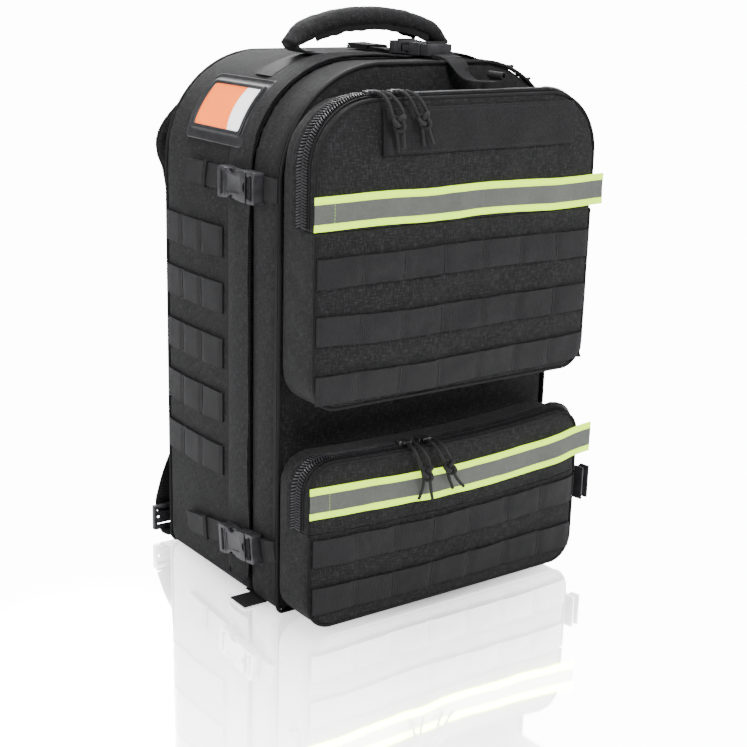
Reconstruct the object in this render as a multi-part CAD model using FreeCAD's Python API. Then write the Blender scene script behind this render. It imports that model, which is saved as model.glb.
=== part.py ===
import FreeCAD, Part
import math
import os

# Trauma backpack: a clamshell bag with two front pockets, webbing rows, compression straps,
# a carry handle, shoulder straps and a waist belt.
# Frame: millimetres. +X is to the right seen from the front, +Y points to the wearer's back, +Z is up.
# The origin is the middle of the main body's footprint, on the floor.

V = FreeCAD.Vector
os.makedirs("parts", exist_ok=True)

# ---------------------------------------------------------------- driving dimensions
WIDTH = 310.0            # main body, side to side
HEIGHT = 488.0           # main body, floor to top
TOP_RADIUS = 100.0       # rounding of the main body's two upper corners
BASE_RADIUS = 10.0       # rounding of its two lower corners
REAR_DEPTH = 153.0       # rear shell, main zipper to back face
FRONT_DEPTH = 52.0       # front panel, main zipper to its front face
SHELL_WALL = 4.0         # padded shell cloth
POCKET_WALL = 3.0        # pocket cloth
JOIN_GAP = 0.3           # each half stands this far from a shared parting plane

UPPER_POCKET_WIDTH = 308.0
UPPER_POCKET_LOW = 204.0
UPPER_POCKET_TOP = 464.0
UPPER_POCKET_RADIUS = 57.0
UPPER_FOLD_HEIGHT = 358.0     # where the upper pocket's lid folds
LOWER_POCKET_WIDTH = 312.0
LOWER_POCKET_LOW = 4.0
LOWER_POCKET_TOP = 158.0
LOWER_POCKET_RADIUS = 28.0
LOWER_FOLD_HEIGHT = 95.0
POCKET_BASE_RADIUS = 25.0
POCKET_DEPTH = 51.0
LID_DEPTH = 15.0              # how far a lid's gusset runs back to the zipper

ZIP_HALF = 4.0                # one half of a zipper, across its teeth and tape
ZIP_RISE = 1.5                # how far a zipper stands off the cloth
MAIN_ZIP_RISE = 1.2
FLAP_WIDTH = 29.0             # storm flap, sewn to the rear shell behind the main zipper
FLAP_THICK = 1.2

WEBBING = 25.0                # width of the load-bearing webbing
WEBBING_THICK = 1.6
ROW_PITCH = 50.0              # one row to the next on the pockets
ROW_SPAN = 305.0              # length of a pocket row
UPPER_ROW_LOW = 212.0         # lower edge of the lowest row on the upper pocket
LOWER_ROW_LOW = 19.4
SIDE_ROW_LOW = 106.2
SIDE_ROW_PITCH = 51.7
SIDE_ROW_TALL = 28.0
SIDE_ROW_SPAN = 109.0
SIDE_ROW_BACK = 2.0           # from the rows' rear end to the back face

TAPE_TALL = 28.5
TAPE_THICK = 1.2
UPPER_TAPE_LOW = 360.5
LOWER_TAPE_LOW = 109.0
TAPE_LEFT_SPAN = 156.0        # from the middle to a tape's left end
UPPER_TAPE_RIGHT_SPAN = 166.0
LOWER_TAPE_RIGHT_SPAN = 172.0
PATCH_WIDTH = 214.0
PATCH_TALL = 38.0
PATCH_THICK = 1.8
PATCH_MIDDLE = 17.0           # sideways place of the patch
PATCH_BELOW_TOP = 8.0

STRAP_WIDE = 20.0             # compression straps
BUCKLE_WIDE = 27.0            # side-release buckle for the compression straps
BELT_BUCKLE_WIDE = 34.0       # the same kind of buckle on the wider belt
BUCKLE_THICK = 11.0
SOCKET_LONG = 47.0
SOCKET_PLATE = 2.0
SOCKET_BLOCK = 13.0           # solid end of the socket with its strap slot
PLUG_SHOULDER = 13.0          # the plug's block outside the socket
PRONG_LONG = 33.0
PRONG_CLEARANCE = 0.8         # between a prong and each socket plate
PLUG_TRAVEL_GAP = 0.5         # shoulder to socket mouth
PRONG_OUTER = 2.5             # a prong's sides at its root, in from the buckle's edge
PRONG_INNER = 7.0
BARB_LONG = 14.0              # from a prong's tip back to its full width
BARB_TIP = 6.0                # from the tip back to where it starts to narrow
BARB_INNER = 6.0
TIP_OUTER = 4.5
TIP_INNER = 8.0
TONGUE_HALF = 2.2
TONGUE_SHORT = 10.0           # tongue's end behind the prongs' tips
STRAP_SLOT = 3.6
STRAP_STANDOFF = 1.4          # a strap lies over the storm flap
BUCKLE_STANDOFF = 3.4         # the buckle lies over its strap
WAIST_BITE = 7.0              # round bites in the socket's edges
BITE_OUT = 3.0                # middle of a bite outside the socket's edge
SOCKET_REAR = 4.0             # rear end of each socket, forward of the origin is negative
STRAP_REAR = 76.0             # rear end of the side compression straps
UPPER_STRAP_HEIGHT = 385.0
LOWER_STRAP_HEIGHT = 57.0
LOWER_STRAP_TILT = 7.0        # the lower straps climb towards the front, degrees
TOP_STRAP_PLACE = 25.0        # sideways place of the strap over the top
TAIL_RISE = 6.0               # loose tail above the upper pocket
# the folded tail: sideways place, distance in front of the body
TAIL_LINE = ((24.0, 2.0), (46.0, 2.0), (64.0, 12.0), (64.0, 29.0), (40.0, 29.0))

HANDLE_PLACE = 22.0           # along Y
HANDLE_SPAN = 190.0
HANDLE_RISE = 42.0            # grip's top above the body's top
HANDLE_UNDER_RISE = 24.0
HANDLE_WIDE = 28.0
HANDLE_END_RISE = 12.0        # grip ends above the body's top
HANDLE_LEG = 6.0              # thickness of a leg where it hinges
HANDLE_AXIS_RISE = 5.0        # hinge line above the body's top
HANDLE_FOOT_PLACE = 76.0
HANDLE_FOOT_LONG = 20.0
HANDLE_BAND_THICK = 1.4
HANDLE_BAND_REACH = 112.0

ID_ANGLE = 56.3               # the window's middle, from straight up towards the left
ID_SPAN = 68.0                # along the curve of the shoulder
ID_LONG = 102.0               # along Y
ID_FRONT = -12.0
ID_THICK = 4.6
ID_WINDOW_SPAN = 41.0
ID_WINDOW_LONG = 78.0
ID_CARD_THICK = 0.7
ID_SHEET_THICK = 0.8
ID_CLEARANCE = 0.4

BACK_PAD_THICK = 10.0
BACK_PAD_WIDE = 112.0
BACK_PAD_LOW = 128.0
BACK_PAD_TOP = 425.0
BACK_PAD_GAP = 34.0           # air channel between the two long pads
LUMBAR_LOW = 28.0
LUMBAR_TALL = 84.0
LUMBAR_WIDE = 200.0
YOKE_WIDE = 210.0
YOKE_LOW = 440.0
YOKE_TALL = 26.0
STRAP_PAD_WIDE = 60.0
STRAP_PAD_THICK = 12.0
STRAP_CLEARANCE = 2.5         # shoulder straps stand this far off the back pads
STRAP_WEB_THICK = 2.0

LOCK_WIDE = 32.0              # ladder lock
LOCK_TALL = 26.0
LOCK_THICK = 5.0
LOCK_BAR = 4.0
LOCK_PLACE = 148.0            # sideways place
LOCK_AXIS_HEIGHT = 8.0

BELT_HEIGHT = 70.5            # middle of the waist belt
BELT_THICK = 2.0
BELT_SIDE_LONG = 183.0        # free part along the right side
BELT_LEAN = 27.0              # how far its front end stands off the side
BELT_TUCK_LONG = 78.0         # free part tucked across the lumbar pad
BELT_SLOT_PLACE = 112.0       # where the belt comes out by the lumbar pad
BELT_WRAP = 8.0               # how far its fixed run comes forward on the right side
BELT_HINGE_GAP = 2.0
BELT_CLEARANCE = 0.6
BELT_SLOT_LIFT = 0.4          # the left fixed run stands this far behind the pad
BELT_TUCK_LIFT = 0.8          # and the tucked half this far
BELT_RUN_GAP = 2.0            # between the lumbar pad and the right fixed run
TAB_INSET = 6.0               # the ladder lock's tab is cut back on its outer side
TAB_GAP = 2.0                 # between the tab and the lock
YOKE_GAP = 0.5                # between the yoke and the shoulder straps

CORD = 3.0                    # zipper-pull cord diameter
SLIDER_LONG = 12.0
SLIDER_WIDE = 8.0
SLIDER_THICK = 3.4
SLIDER_CLEARANCE = 0.4
BAIL_THICK = 2.0              # slider's wire loop
BAIL_REACH = 9.0

# ---------------------------------------------------------------- planes worked out from them
BACK_Y = 128.0
ZIP_Y = BACK_Y - REAR_DEPTH
FRONT_Y = ZIP_Y - FRONT_DEPTH
POCKET_Y = FRONT_Y - POCKET_DEPTH
LID_Y = POCKET_Y + LID_DEPTH
HALF = WIDTH / 2
TOP_CENTRE_X = HALF - TOP_RADIUS
TOP_CENTRE_Z = HEIGHT - TOP_RADIUS
PAD_Y = BACK_Y + BACK_PAD_THICK
STRAP_Y = PAD_Y + STRAP_CLEARANCE


# ---------------------------------------------------------------- shape helpers
def box(x0, x1, y0, y1, z0, z1):
    return Part.makeBox(x1 - x0, y1 - y0, z1 - z0, V(x0, y0, z0))


def rounded_outline(half, low, top, r_top, r_low):
    """Closed wire in the XZ plane: a rectangle with rounded upper and lower corners."""
    edges = []
    k_top = r_top * (1 - math.sqrt(0.5))
    k_low = r_low * (1 - math.sqrt(0.5))
    right_low = (V(half - r_low, 0, low), V(half - k_low, 0, low + k_low), V(half, 0, low + r_low))
    right_top = (V(half, 0, top - r_top), V(half - k_top, 0, top - k_top), V(half - r_top, 0, top))
    left_top = tuple(V(-p.x, 0, p.z) for p in reversed(right_top))
    left_low = tuple(V(-p.x, 0, p.z) for p in reversed(right_low))
    corners = [right_low, right_top, left_top, left_low]
    for i, arc in enumerate(corners):
        edges.append(Part.Arc(*arc).toShape())
        after = corners[(i + 1) % len(corners)]
        edges.append(Part.LineSegment(arc[2], after[0]).toShape())
    return Part.Wire(edges)


def slab(half, low, top, r_top, r_low, y0, y1):
    """The rounded outline given depth from y0 to y1."""
    face = Part.Face(rounded_outline(half, low, top, r_top, r_low))
    face.translate(V(0, y0, 0))
    return face.extrude(V(0, y1 - y0, 0))


def body_slab(grow, y0, y1):
    """The main body's outline, grown outwards by grow."""
    return slab(HALF + grow, -grow, HEIGHT + grow, TOP_RADIUS + grow, BASE_RADIUS + grow, y0, y1)


def body_band(inner, outer, y0, y1, low):
    """A strip that follows the main body's outline above the height low."""
    band = body_slab(outer, y0, y1).cut(body_slab(inner, y0 - 1, y1 + 1))
    reach = HALF + outer + 1
    return band.common(box(-reach, reach, y0 - 1, y1 + 1, low, HEIGHT + outer + 1))


def polygon(points, depth):
    """A flat polygon given depth along one direction."""
    return Part.Face(Part.makePolygon(points + [points[0]])).extrude(depth)


def strip(path, wide, y0, y1):
    """A band in the XZ plane that follows path, wide across, between y0 and y1."""
    left, right = [], []
    for i, here in enumerate(path):
        before = path[max(i - 1, 0)]
        after = path[min(i + 1, len(path) - 1)]
        run = V(after[0] - before[0], 0, after[1] - before[1]).normalize()
        side = V(-run.z, 0, run.x) * (wide / 2)
        left.append(V(here[0], y0, here[1]) + side)
        right.append(V(here[0], y0, here[1]) - side)
    return polygon(left + right[::-1], V(0, y1 - y0, 0))


def mirrored(shape):
    return shape.mirror(V(0, 0, 0), V(1, 0, 0))


def sector(angle, span, r0, r1, y0, y1):
    """A piece of a shell round the left upper corner's axis, angle measured from straight up."""
    outer = Part.makeCylinder(r1, y1 - y0, V(0, 0, 0), V(0, 1, 0))
    inner = Part.makeCylinder(r0, y1 - y0 + 2, V(0, -1, 0), V(0, 1, 0))
    half = math.degrees(span / 2 / TOP_RADIUS)
    reach = 2 * r1
    rays = [angle - half, angle + half]
    wedge = [V(0, 0, 0)]
    wedge += [V(-reach * math.sin(math.radians(a)), 0, reach * math.cos(math.radians(a))) for a in rays]
    piece = outer.cut(inner).common(polygon(wedge, V(0, y1 - y0, 0)))
    piece.translate(V(-TOP_CENTRE_X, y0, TOP_CENTRE_Z))
    return piece


def save(name, *solids):
    shape = solids[0] if len(solids) == 1 else Part.makeCompound(list(solids))
    shape.exportStep("parts/" + name + ".step")


# ---------------------------------------------------------------- main body
def shells():
    rear = body_slab(0, ZIP_Y + JOIN_GAP, BACK_Y)
    rear = rear.cut(body_slab(-SHELL_WALL, ZIP_Y - 1, BACK_Y - SHELL_WALL))
    front = body_slab(0, FRONT_Y, ZIP_Y - JOIN_GAP)
    front = front.cut(body_slab(-SHELL_WALL, FRONT_Y + SHELL_WALL, ZIP_Y + 1))
    save("rear_shell", rear)
    save("front_shell", front)
    zip_low = 2 * BASE_RADIUS
    save("main_zipper_rear", body_band(0, MAIN_ZIP_RISE, ZIP_Y + JOIN_GAP, ZIP_Y + ZIP_HALF, zip_low))
    save("main_zipper_front", body_band(0, MAIN_ZIP_RISE, ZIP_Y - ZIP_HALF, ZIP_Y - JOIN_GAP, zip_low))
    flap_front = ZIP_Y + ZIP_HALF
    flap = body_band(0, FLAP_THICK, flap_front, flap_front + FLAP_WIDTH, zip_low)
    under_frame = sector(ID_ANGLE, ID_SPAN + 2 * ID_CLEARANCE, TOP_RADIUS - 1, TOP_RADIUS + ID_THICK,
                         ID_FRONT - ID_CLEARANCE, BACK_Y)
    save("storm_flap", flap.cut(under_frame))


def side_rows():
    rows = []
    back = BACK_Y - SIDE_ROW_BACK
    for i in range(5):
        low = SIDE_ROW_LOW + i * SIDE_ROW_PITCH
        row = box(-HALF - WEBBING_THICK, -HALF, back - SIDE_ROW_SPAN, back, low, low + SIDE_ROW_TALL)
        rows += [row, mirrored(row)]
    save("side_webbing_rows", *rows)


# ---------------------------------------------------------------- pockets
def pocket(name, width, low, top, radius, fold):
    """A pocket's fixed part, its folding lid and the two halves of its arched zipper."""
    half = width / 2
    outer = slab(half, low, top, radius, POCKET_BASE_RADIUS, POCKET_Y, FRONT_Y)
    inner = slab(half - POCKET_WALL, low + POCKET_WALL, top - POCKET_WALL, radius - POCKET_WALL,
                 POCKET_BASE_RADIUS - POCKET_WALL, POCKET_Y + POCKET_WALL, FRONT_Y + 1)
    cloth = outer.cut(inner)
    reach = half + ZIP_RISE + 1
    above = top + ZIP_RISE + 1
    window = box(-reach, reach, POCKET_Y - 1, LID_Y + JOIN_GAP, fold - JOIN_GAP, above)
    lid_zone = box(-reach, reach, POCKET_Y - 1, LID_Y - JOIN_GAP, fold + JOIN_GAP, above)
    save(name, cloth.cut(window))
    save(name + "_lid", cloth.common(lid_zone))
    grown = slab(half + ZIP_RISE, low, top + ZIP_RISE, radius + ZIP_RISE, POCKET_BASE_RADIUS,
                 LID_Y - ZIP_HALF, LID_Y + ZIP_HALF)
    chain = grown.cut(slab(half, low - 1, top, radius, POCKET_BASE_RADIUS,
                           LID_Y - ZIP_HALF - 1, LID_Y + ZIP_HALF + 1))
    zip_low = fold + 2
    body_half = box(-reach, reach, LID_Y + JOIN_GAP, LID_Y + ZIP_HALF, zip_low, above)
    lid_half = box(-reach, reach, LID_Y - ZIP_HALF, LID_Y - JOIN_GAP, zip_low, above)
    save(name + "_zipper_fixed", chain.common(body_half))
    save(name + "_zipper_lid", chain.common(lid_half))


def pocket_rows(name, low, count):
    rows = []
    for i in range(count):
        z = low + i * ROW_PITCH
        rows.append(box(-ROW_SPAN / 2, ROW_SPAN / 2, POCKET_Y - WEBBING_THICK, POCKET_Y, z, z + WEBBING))
    save(name, *rows)


def lid_trim():
    face = POCKET_Y
    save("upper_reflective_tape", box(-TAPE_LEFT_SPAN, UPPER_TAPE_RIGHT_SPAN, face - TAPE_THICK, face,
                                      UPPER_TAPE_LOW, UPPER_TAPE_LOW + TAPE_TALL))
    save("lower_reflective_tape", box(-TAPE_LEFT_SPAN, LOWER_TAPE_RIGHT_SPAN, face - TAPE_THICK, face,
                                      LOWER_TAPE_LOW, LOWER_TAPE_LOW + TAPE_TALL))
    top = UPPER_POCKET_TOP - PATCH_BELOW_TOP
    save("loop_patch", box(PATCH_MIDDLE - PATCH_WIDTH / 2, PATCH_MIDDLE + PATCH_WIDTH / 2,
                           face - PATCH_THICK, face, top - PATCH_TALL, top))


# ---------------------------------------------------------------- side-release buckles
# Built lying on the plane Z = 0 with the strap along Y and the plug towards -Y.
def socket_shape(wide, strap):
    """A strap-slot block and two plates with a round bite at each side, as touching solids."""
    low, high = BUCKLE_STANDOFF, BUCKLE_STANDOFF + BUCKLE_THICK
    rear = SOCKET_REAR
    mouth = rear - SOCKET_LONG
    half = wide / 2
    block = box(-half, half, rear - SOCKET_BLOCK, rear, low, high)
    slot_middle = rear - SOCKET_BLOCK / 2
    block = block.cut(box(-strap / 2 - 1, strap / 2 + 1, slot_middle - STRAP_SLOT / 2,
                          slot_middle + STRAP_SLOT / 2, low - 1, high + 1))
    bite_y = (mouth + rear - SOCKET_BLOCK) / 2
    solids = [block]
    for z in (low, high - SOCKET_PLATE):
        plate = box(-half, half, mouth, rear - SOCKET_BLOCK, z, z + SOCKET_PLATE)
        for side in (-1, 1):
            plate = plate.cut(Part.makeCylinder(WAIST_BITE, 2 * BUCKLE_THICK,
                                                V(side * (half + BITE_OUT), bite_y, low - 1)))
        solids.append(plate)
    return solids


def plug_shape(wide, strap):
    """A strap-slot shoulder, two springy prongs and a middle tongue, as touching solids."""
    low = BUCKLE_STANDOFF + SOCKET_PLATE + PRONG_CLEARANCE
    high = BUCKLE_STANDOFF + BUCKLE_THICK - SOCKET_PLATE - PRONG_CLEARANCE
    mouth = SOCKET_REAR - SOCKET_LONG
    back = mouth - PLUG_TRAVEL_GAP
    half = wide / 2
    shoulder = box(-half, half, back - PLUG_SHOULDER, back, BUCKLE_STANDOFF, BUCKLE_STANDOFF + BUCKLE_THICK)
    slot_middle = back - PLUG_SHOULDER / 2
    shoulder = shoulder.cut(box(-strap / 2 - 1, strap / 2 + 1, slot_middle - STRAP_SLOT / 2,
                                slot_middle + STRAP_SLOT / 2, BUCKLE_STANDOFF - 1,
                                BUCKLE_STANDOFF + BUCKLE_THICK + 1))
    tip = back + PRONG_LONG
    barb = tip - BARB_LONG
    hook = tip - BARB_TIP
    solids = [shoulder]
    for side in (-1, 1):
        outline = [(PRONG_INNER, back), (PRONG_OUTER, back), (0, barb), (0, hook), (TIP_OUTER, tip),
                   (TIP_INNER, tip), (BARB_INNER, barb)]
        solids.append(polygon([V(side * (half - inward), y, low) for inward, y in outline],
                              V(0, 0, high - low)))
    solids.append(box(-TONGUE_HALF, TONGUE_HALF, back, tip - TONGUE_SHORT, low, high))
    return solids


def strap_run(y0, y1):
    return box(-STRAP_WIDE / 2, STRAP_WIDE / 2, y0, y1, STRAP_STANDOFF, STRAP_STANDOFF + WEBBING_THICK)


def placed(shape, place):
    """Put a buckle or strap built on Z = 0 at one of the five compression places."""
    side, height, tilt = place
    out = shape.copy()
    if side == 0:
        out.translate(V(TOP_STRAP_PLACE, 0, HEIGHT))
        return out
    out.rotate(V(0, 0, 0), V(0, 1, 0), 90 * side)
    middle = V(0, SOCKET_REAR - SOCKET_LONG, 0)
    out.rotate(middle, V(1, 0, 0), -tilt)
    out.translate(V(side * HALF, 0, height))
    return out


COMPRESSION = {
    "upper_left": (-1, UPPER_STRAP_HEIGHT, 0.0),
    "upper_right": (1, UPPER_STRAP_HEIGHT, 0.0),
    "lower_left": (-1, LOWER_STRAP_HEIGHT, LOWER_STRAP_TILT),
    "lower_right": (1, LOWER_STRAP_HEIGHT, LOWER_STRAP_TILT),
    "top": (0, HEIGHT, 0.0),
}


def compression():
    sockets, rear_straps, front_straps = [], [], []
    front_end = SOCKET_REAR - SOCKET_LONG - 2
    for name, place in COMPRESSION.items():
        sockets += [placed(solid, place) for solid in socket_shape(BUCKLE_WIDE, STRAP_WIDE)]
        rear_straps.append(placed(strap_run(SOCKET_REAR - SOCKET_BLOCK, STRAP_REAR), place))
        front_straps.append(placed(strap_run(FRONT_Y + 1, front_end), place))
        save("buckle_plug_" + name, *[placed(solid, place) for solid in plug_shape(BUCKLE_WIDE, STRAP_WIDE)])
    save("buckle_sockets", *sockets)
    save("rear_compression_straps", *rear_straps)
    # the top strap's loose tail lies on the upper pocket
    tail = polygon([V(x, FRONT_Y - ahead, UPPER_POCKET_TOP + TAIL_RISE) for x, ahead in TAIL_LINE],
                   V(0, 0, WEBBING_THICK))
    save("front_compression_straps", *front_straps, tail)


# ---------------------------------------------------------------- carry handle
def carry_handle():
    """Saves the handle and returns the webbing that is sewn over the top under it."""
    half = HANDLE_SPAN / 2
    end_z = HEIGHT + HANDLE_END_RISE
    foot_in = HANDLE_FOOT_PLACE - HANDLE_FOOT_LONG / 2
    foot_out = HANDLE_FOOT_PLACE + HANDLE_FOOT_LONG / 2
    outer = Part.Arc(V(-half, 0, end_z), V(0, 0, HEIGHT + HANDLE_RISE), V(half, 0, end_z)).toShape()
    crown = V(0, 0, HEIGHT + HANDLE_UNDER_RISE)
    inner = Part.Arc(V(foot_in, 0, end_z), crown, V(-foot_in, 0, end_z)).toShape()
    right = Part.LineSegment(V(half, 0, end_z), V(foot_in, 0, end_z)).toShape()
    left = Part.LineSegment(V(-foot_in, 0, end_z), V(-half, 0, end_z)).toShape()
    grip = Part.Face(Part.Wire([outer, right, inner, left]))
    grip.translate(V(0, HANDLE_PLACE - HANDLE_WIDE / 2, 0))
    shape = grip.extrude(V(0, HANDLE_WIDE, 0))
    axis_z = HEIGHT + HANDLE_AXIS_RISE
    for side in (-1, 1):
        x0 = side * HANDLE_FOOT_PLACE - HANDLE_FOOT_LONG / 2
        leg = box(x0, x0 + HANDLE_FOOT_LONG, HANDLE_PLACE - HANDLE_LEG / 2, HANDLE_PLACE + HANDLE_LEG / 2,
                  axis_z, end_z + 2)
        knuckle = Part.makeCylinder(HANDLE_LEG / 2, HANDLE_FOOT_LONG, V(x0, HANDLE_PLACE, axis_z), V(1, 0, 0))
        shape = shape.fuse(leg).fuse(knuckle)
    save("carry_handle", shape.removeSplitter())
    band = body_band(0, HANDLE_BAND_THICK, HANDLE_PLACE - HANDLE_WIDE / 2, HANDLE_PLACE + HANDLE_WIDE / 2,
                     TOP_CENTRE_Z)
    reach = HANDLE_BAND_REACH
    return band.common(box(-reach, reach, -BACK_Y, BACK_Y, 0, 2 * HEIGHT))


# ---------------------------------------------------------------- identification window
def id_holder():
    base = TOP_RADIUS + 0.1
    rear = ID_FRONT + ID_LONG
    frame = sector(ID_ANGLE, ID_SPAN, base, TOP_RADIUS + ID_THICK, ID_FRONT, rear)
    slot_low = base + ID_CLEARANCE
    slot_high = slot_low + ID_CARD_THICK + 2 * ID_CLEARANCE
    card_span = ID_WINDOW_SPAN + 8
    slot = sector(ID_ANGLE, card_span + 2, slot_low, slot_high, ID_FRONT + 6, rear + 1)
    middle = (ID_FRONT + rear) / 2
    front, back = middle - ID_WINDOW_LONG / 2, middle + ID_WINDOW_LONG / 2
    opening = sector(ID_ANGLE, ID_WINDOW_SPAN, slot_low, TOP_RADIUS + ID_THICK + 1, front, back)
    save("id_frame", frame.cut(slot).cut(opening))
    save("id_window", sector(ID_ANGLE, ID_WINDOW_SPAN, slot_high, slot_high + ID_SHEET_THICK, front, back))
    card_low = slot_low + ID_CLEARANCE
    save("id_card", sector(ID_ANGLE, card_span, card_low, card_low + ID_CARD_THICK, ID_FRONT + 7, rear - 2))


# ---------------------------------------------------------------- wearer's side
def back_panel():
    pads = []
    inner = BACK_PAD_GAP / 2
    left = box(-inner - BACK_PAD_WIDE, -inner, BACK_Y, PAD_Y, BACK_PAD_LOW, BACK_PAD_TOP)
    pads += [left, mirrored(left)]
    pads.append(box(-LUMBAR_WIDE / 2, LUMBAR_WIDE / 2, BACK_Y, PAD_Y, LUMBAR_LOW, LUMBAR_LOW + LUMBAR_TALL))
    save("back_pads", *pads)
    yoke = box(-YOKE_WIDE / 2, YOKE_WIDE / 2, BACK_Y, STRAP_Y - YOKE_GAP, YOKE_LOW, YOKE_LOW + YOKE_TALL)
    save("strap_yoke", yoke)


PAD_PATH = [(-66, 447), (-96, 425), (-116, 401), (-115, 370), (-107, 300), (-102, 225), (-100, 165)]
WEB_PATH = [(-101, 164), (-118, 112), (-LOCK_PLACE, LOCK_AXIS_HEIGHT + LOCK_TALL + 9)]


def shoulder_straps():
    pad = strip(PAD_PATH, STRAP_PAD_WIDE, STRAP_Y, STRAP_Y + STRAP_PAD_THICK)
    web_y = STRAP_Y + STRAP_PAD_THICK / 2
    web = strip(WEB_PATH, WEBBING, web_y - STRAP_WEB_THICK / 2, web_y + STRAP_WEB_THICK / 2)
    web = web.cut(pad)
    save("shoulder_pad_left", pad)
    save("shoulder_pad_right", mirrored(pad))
    save("strap_webbing_left", web)
    save("strap_webbing_right", mirrored(web))


def ladder_locks(handle_band):
    """Saves the ladder locks, and every sewn piece of webbing together with the handle's band."""
    y0 = STRAP_Y + STRAP_PAD_THICK / 2 - LOCK_THICK / 2
    half = LOCK_WIDE / 2
    low = LOCK_AXIS_HEIGHT
    lock = box(-LOCK_PLACE - half, -LOCK_PLACE + half, y0, y0 + LOCK_THICK, low, low + LOCK_TALL)
    gap = (LOCK_TALL - 4 * LOCK_BAR) / 3
    for i in range(3):
        z = low + LOCK_BAR + i * (LOCK_BAR + gap)
        lock = lock.cut(box(-LOCK_PLACE - WEBBING / 2, -LOCK_PLACE + WEBBING / 2, y0 - 1, y0 + LOCK_THICK + 1,
                            z, z + gap))
    save("ladder_lock_left", lock)
    save("ladder_lock_right", mirrored(lock))
    tab = box(-LOCK_PLACE - WEBBING / 2 + TAB_INSET, -LOCK_PLACE + WEBBING / 2, BACK_Y, y0 + LOCK_THICK / 2,
              low - WEBBING_THICK - TAB_GAP, low - TAB_GAP)
    # the belt's fixed runs: out of the slots by the lumbar pad, the right one on to the side
    z0, z1 = BELT_HEIGHT - WEBBING / 2, BELT_HEIGHT + WEBBING / 2
    slot = box(-BELT_SLOT_PLACE, -LUMBAR_WIDE / 2, BACK_Y, PAD_Y + BELT_SLOT_LIFT, z0, z1)
    inside = LUMBAR_WIDE / 2 + BELT_RUN_GAP
    outline = [(inside, BACK_Y), (inside, BACK_Y + BELT_THICK), (HALF + BELT_THICK, BACK_Y + BELT_THICK),
               (HALF + BELT_THICK, BACK_Y - BELT_WRAP), (HALF, BACK_Y - BELT_WRAP), (HALF, BACK_Y)]
    around = polygon([V(x, y, z0) for x, y in outline], V(0, 0, z1 - z0))
    save("sewn_webbing", tab, mirrored(tab), slot, around, handle_band)


def waist_belt():
    z0, z1 = BELT_HEIGHT - WEBBING / 2, BELT_HEIGHT + WEBBING / 2
    start = V(HALF + BELT_CLEARANCE, BACK_Y - BELT_WRAP - BELT_HINGE_GAP, z0)
    lean = math.atan2(BELT_LEAN, BELT_SIDE_LONG)
    along = V(math.sin(lean), -math.cos(lean), 0)
    out = V(math.cos(lean), math.sin(lean), 0)
    end = start + along * BELT_SIDE_LONG
    right = polygon([start, start + out * BELT_THICK, end + out * BELT_THICK, end], V(0, 0, z1 - z0))
    save("waist_webbing_right", right)
    shift = out * (-(BUCKLE_THICK - BELT_THICK) / 2)
    socket = socket_shape(BELT_BUCKLE_WIDE, WEBBING)
    for solid in socket:
        solid.translate(V(0, -SOCKET_REAR, -BUCKLE_STANDOFF))
        solid.rotate(V(0, 0, 0), V(0, 1, 0), 90)
        solid.rotate(V(0, 0, 0), V(0, 0, 1), math.degrees(lean))
        solid.translate(end + shift + V(0, 0, WEBBING / 2))
    save("waist_buckle_socket", *socket)
    y0 = PAD_Y + BELT_TUCK_LIFT
    left = box(-BELT_SLOT_PLACE, -BELT_SLOT_PLACE + BELT_TUCK_LONG, y0, y0 + BELT_THICK, z0, z1)
    save("waist_webbing_left", left)
    plug = plug_shape(BELT_BUCKLE_WIDE, WEBBING)
    for solid in plug:
        solid.translate(V(0, PLUG_SHOULDER + PLUG_TRAVEL_GAP - (SOCKET_REAR - SOCKET_LONG), -BUCKLE_STANDOFF))
        solid.rotate(V(0, 0, 0), V(1, 0, 0), -90)
        solid.rotate(V(0, 0, 0), V(0, 1, 0), -90)
        solid.translate(V(-BELT_SLOT_PLACE + BELT_TUCK_LONG, y0, BELT_HEIGHT))
    save("waist_buckle_plug", *plug)


# ---------------------------------------------------------------- zipper sliders
# Built over the zipper at the origin: X along the zipper, Z away from the cloth, bail towards -Y.
def slider_shape(rise):
    low = rise + SLIDER_CLEARANCE
    body = box(-SLIDER_LONG / 2, SLIDER_LONG / 2, -SLIDER_WIDE / 2, SLIDER_WIDE / 2, low, low + SLIDER_THICK)
    z0 = low + SLIDER_THICK - 1
    loop = box(-BAIL_REACH / 2, BAIL_REACH / 2, -SLIDER_WIDE / 2 - BAIL_REACH / 2, 0, z0, z0 + BAIL_THICK)
    return body.fuse(loop)


# The pocket sliders stand on the straight tops: their place along X and their zipper's height.
POCKET_SLIDERS = {
    "upper_slider_left": (-92.0, UPPER_POCKET_TOP),
    "upper_slider_right": (-68.0, UPPER_POCKET_TOP),
    "lower_slider_left": (-47.0, LOWER_POCKET_TOP),
    "lower_slider_right": (-25.0, LOWER_POCKET_TOP),
}
# The main sliders stand on the upper right corner's arc: degrees round from its top.
MAIN_SLIDERS = {"main_slider_left": 24.0, "main_slider_right": 36.0}


def sliders():
    for name, (x, z) in POCKET_SLIDERS.items():
        piece = slider_shape(ZIP_RISE)
        piece.translate(V(x, LID_Y, z))
        save(name, piece)
    for name, turn in MAIN_SLIDERS.items():
        piece = slider_shape(MAIN_ZIP_RISE)
        piece.translate(V(0, ZIP_Y, TOP_RADIUS))
        piece.rotate(V(0, 0, 0), V(0, 1, 0), turn)
        piece.translate(V(TOP_CENTRE_X, 0, TOP_CENTRE_Z))
        save(name, piece)


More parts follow.
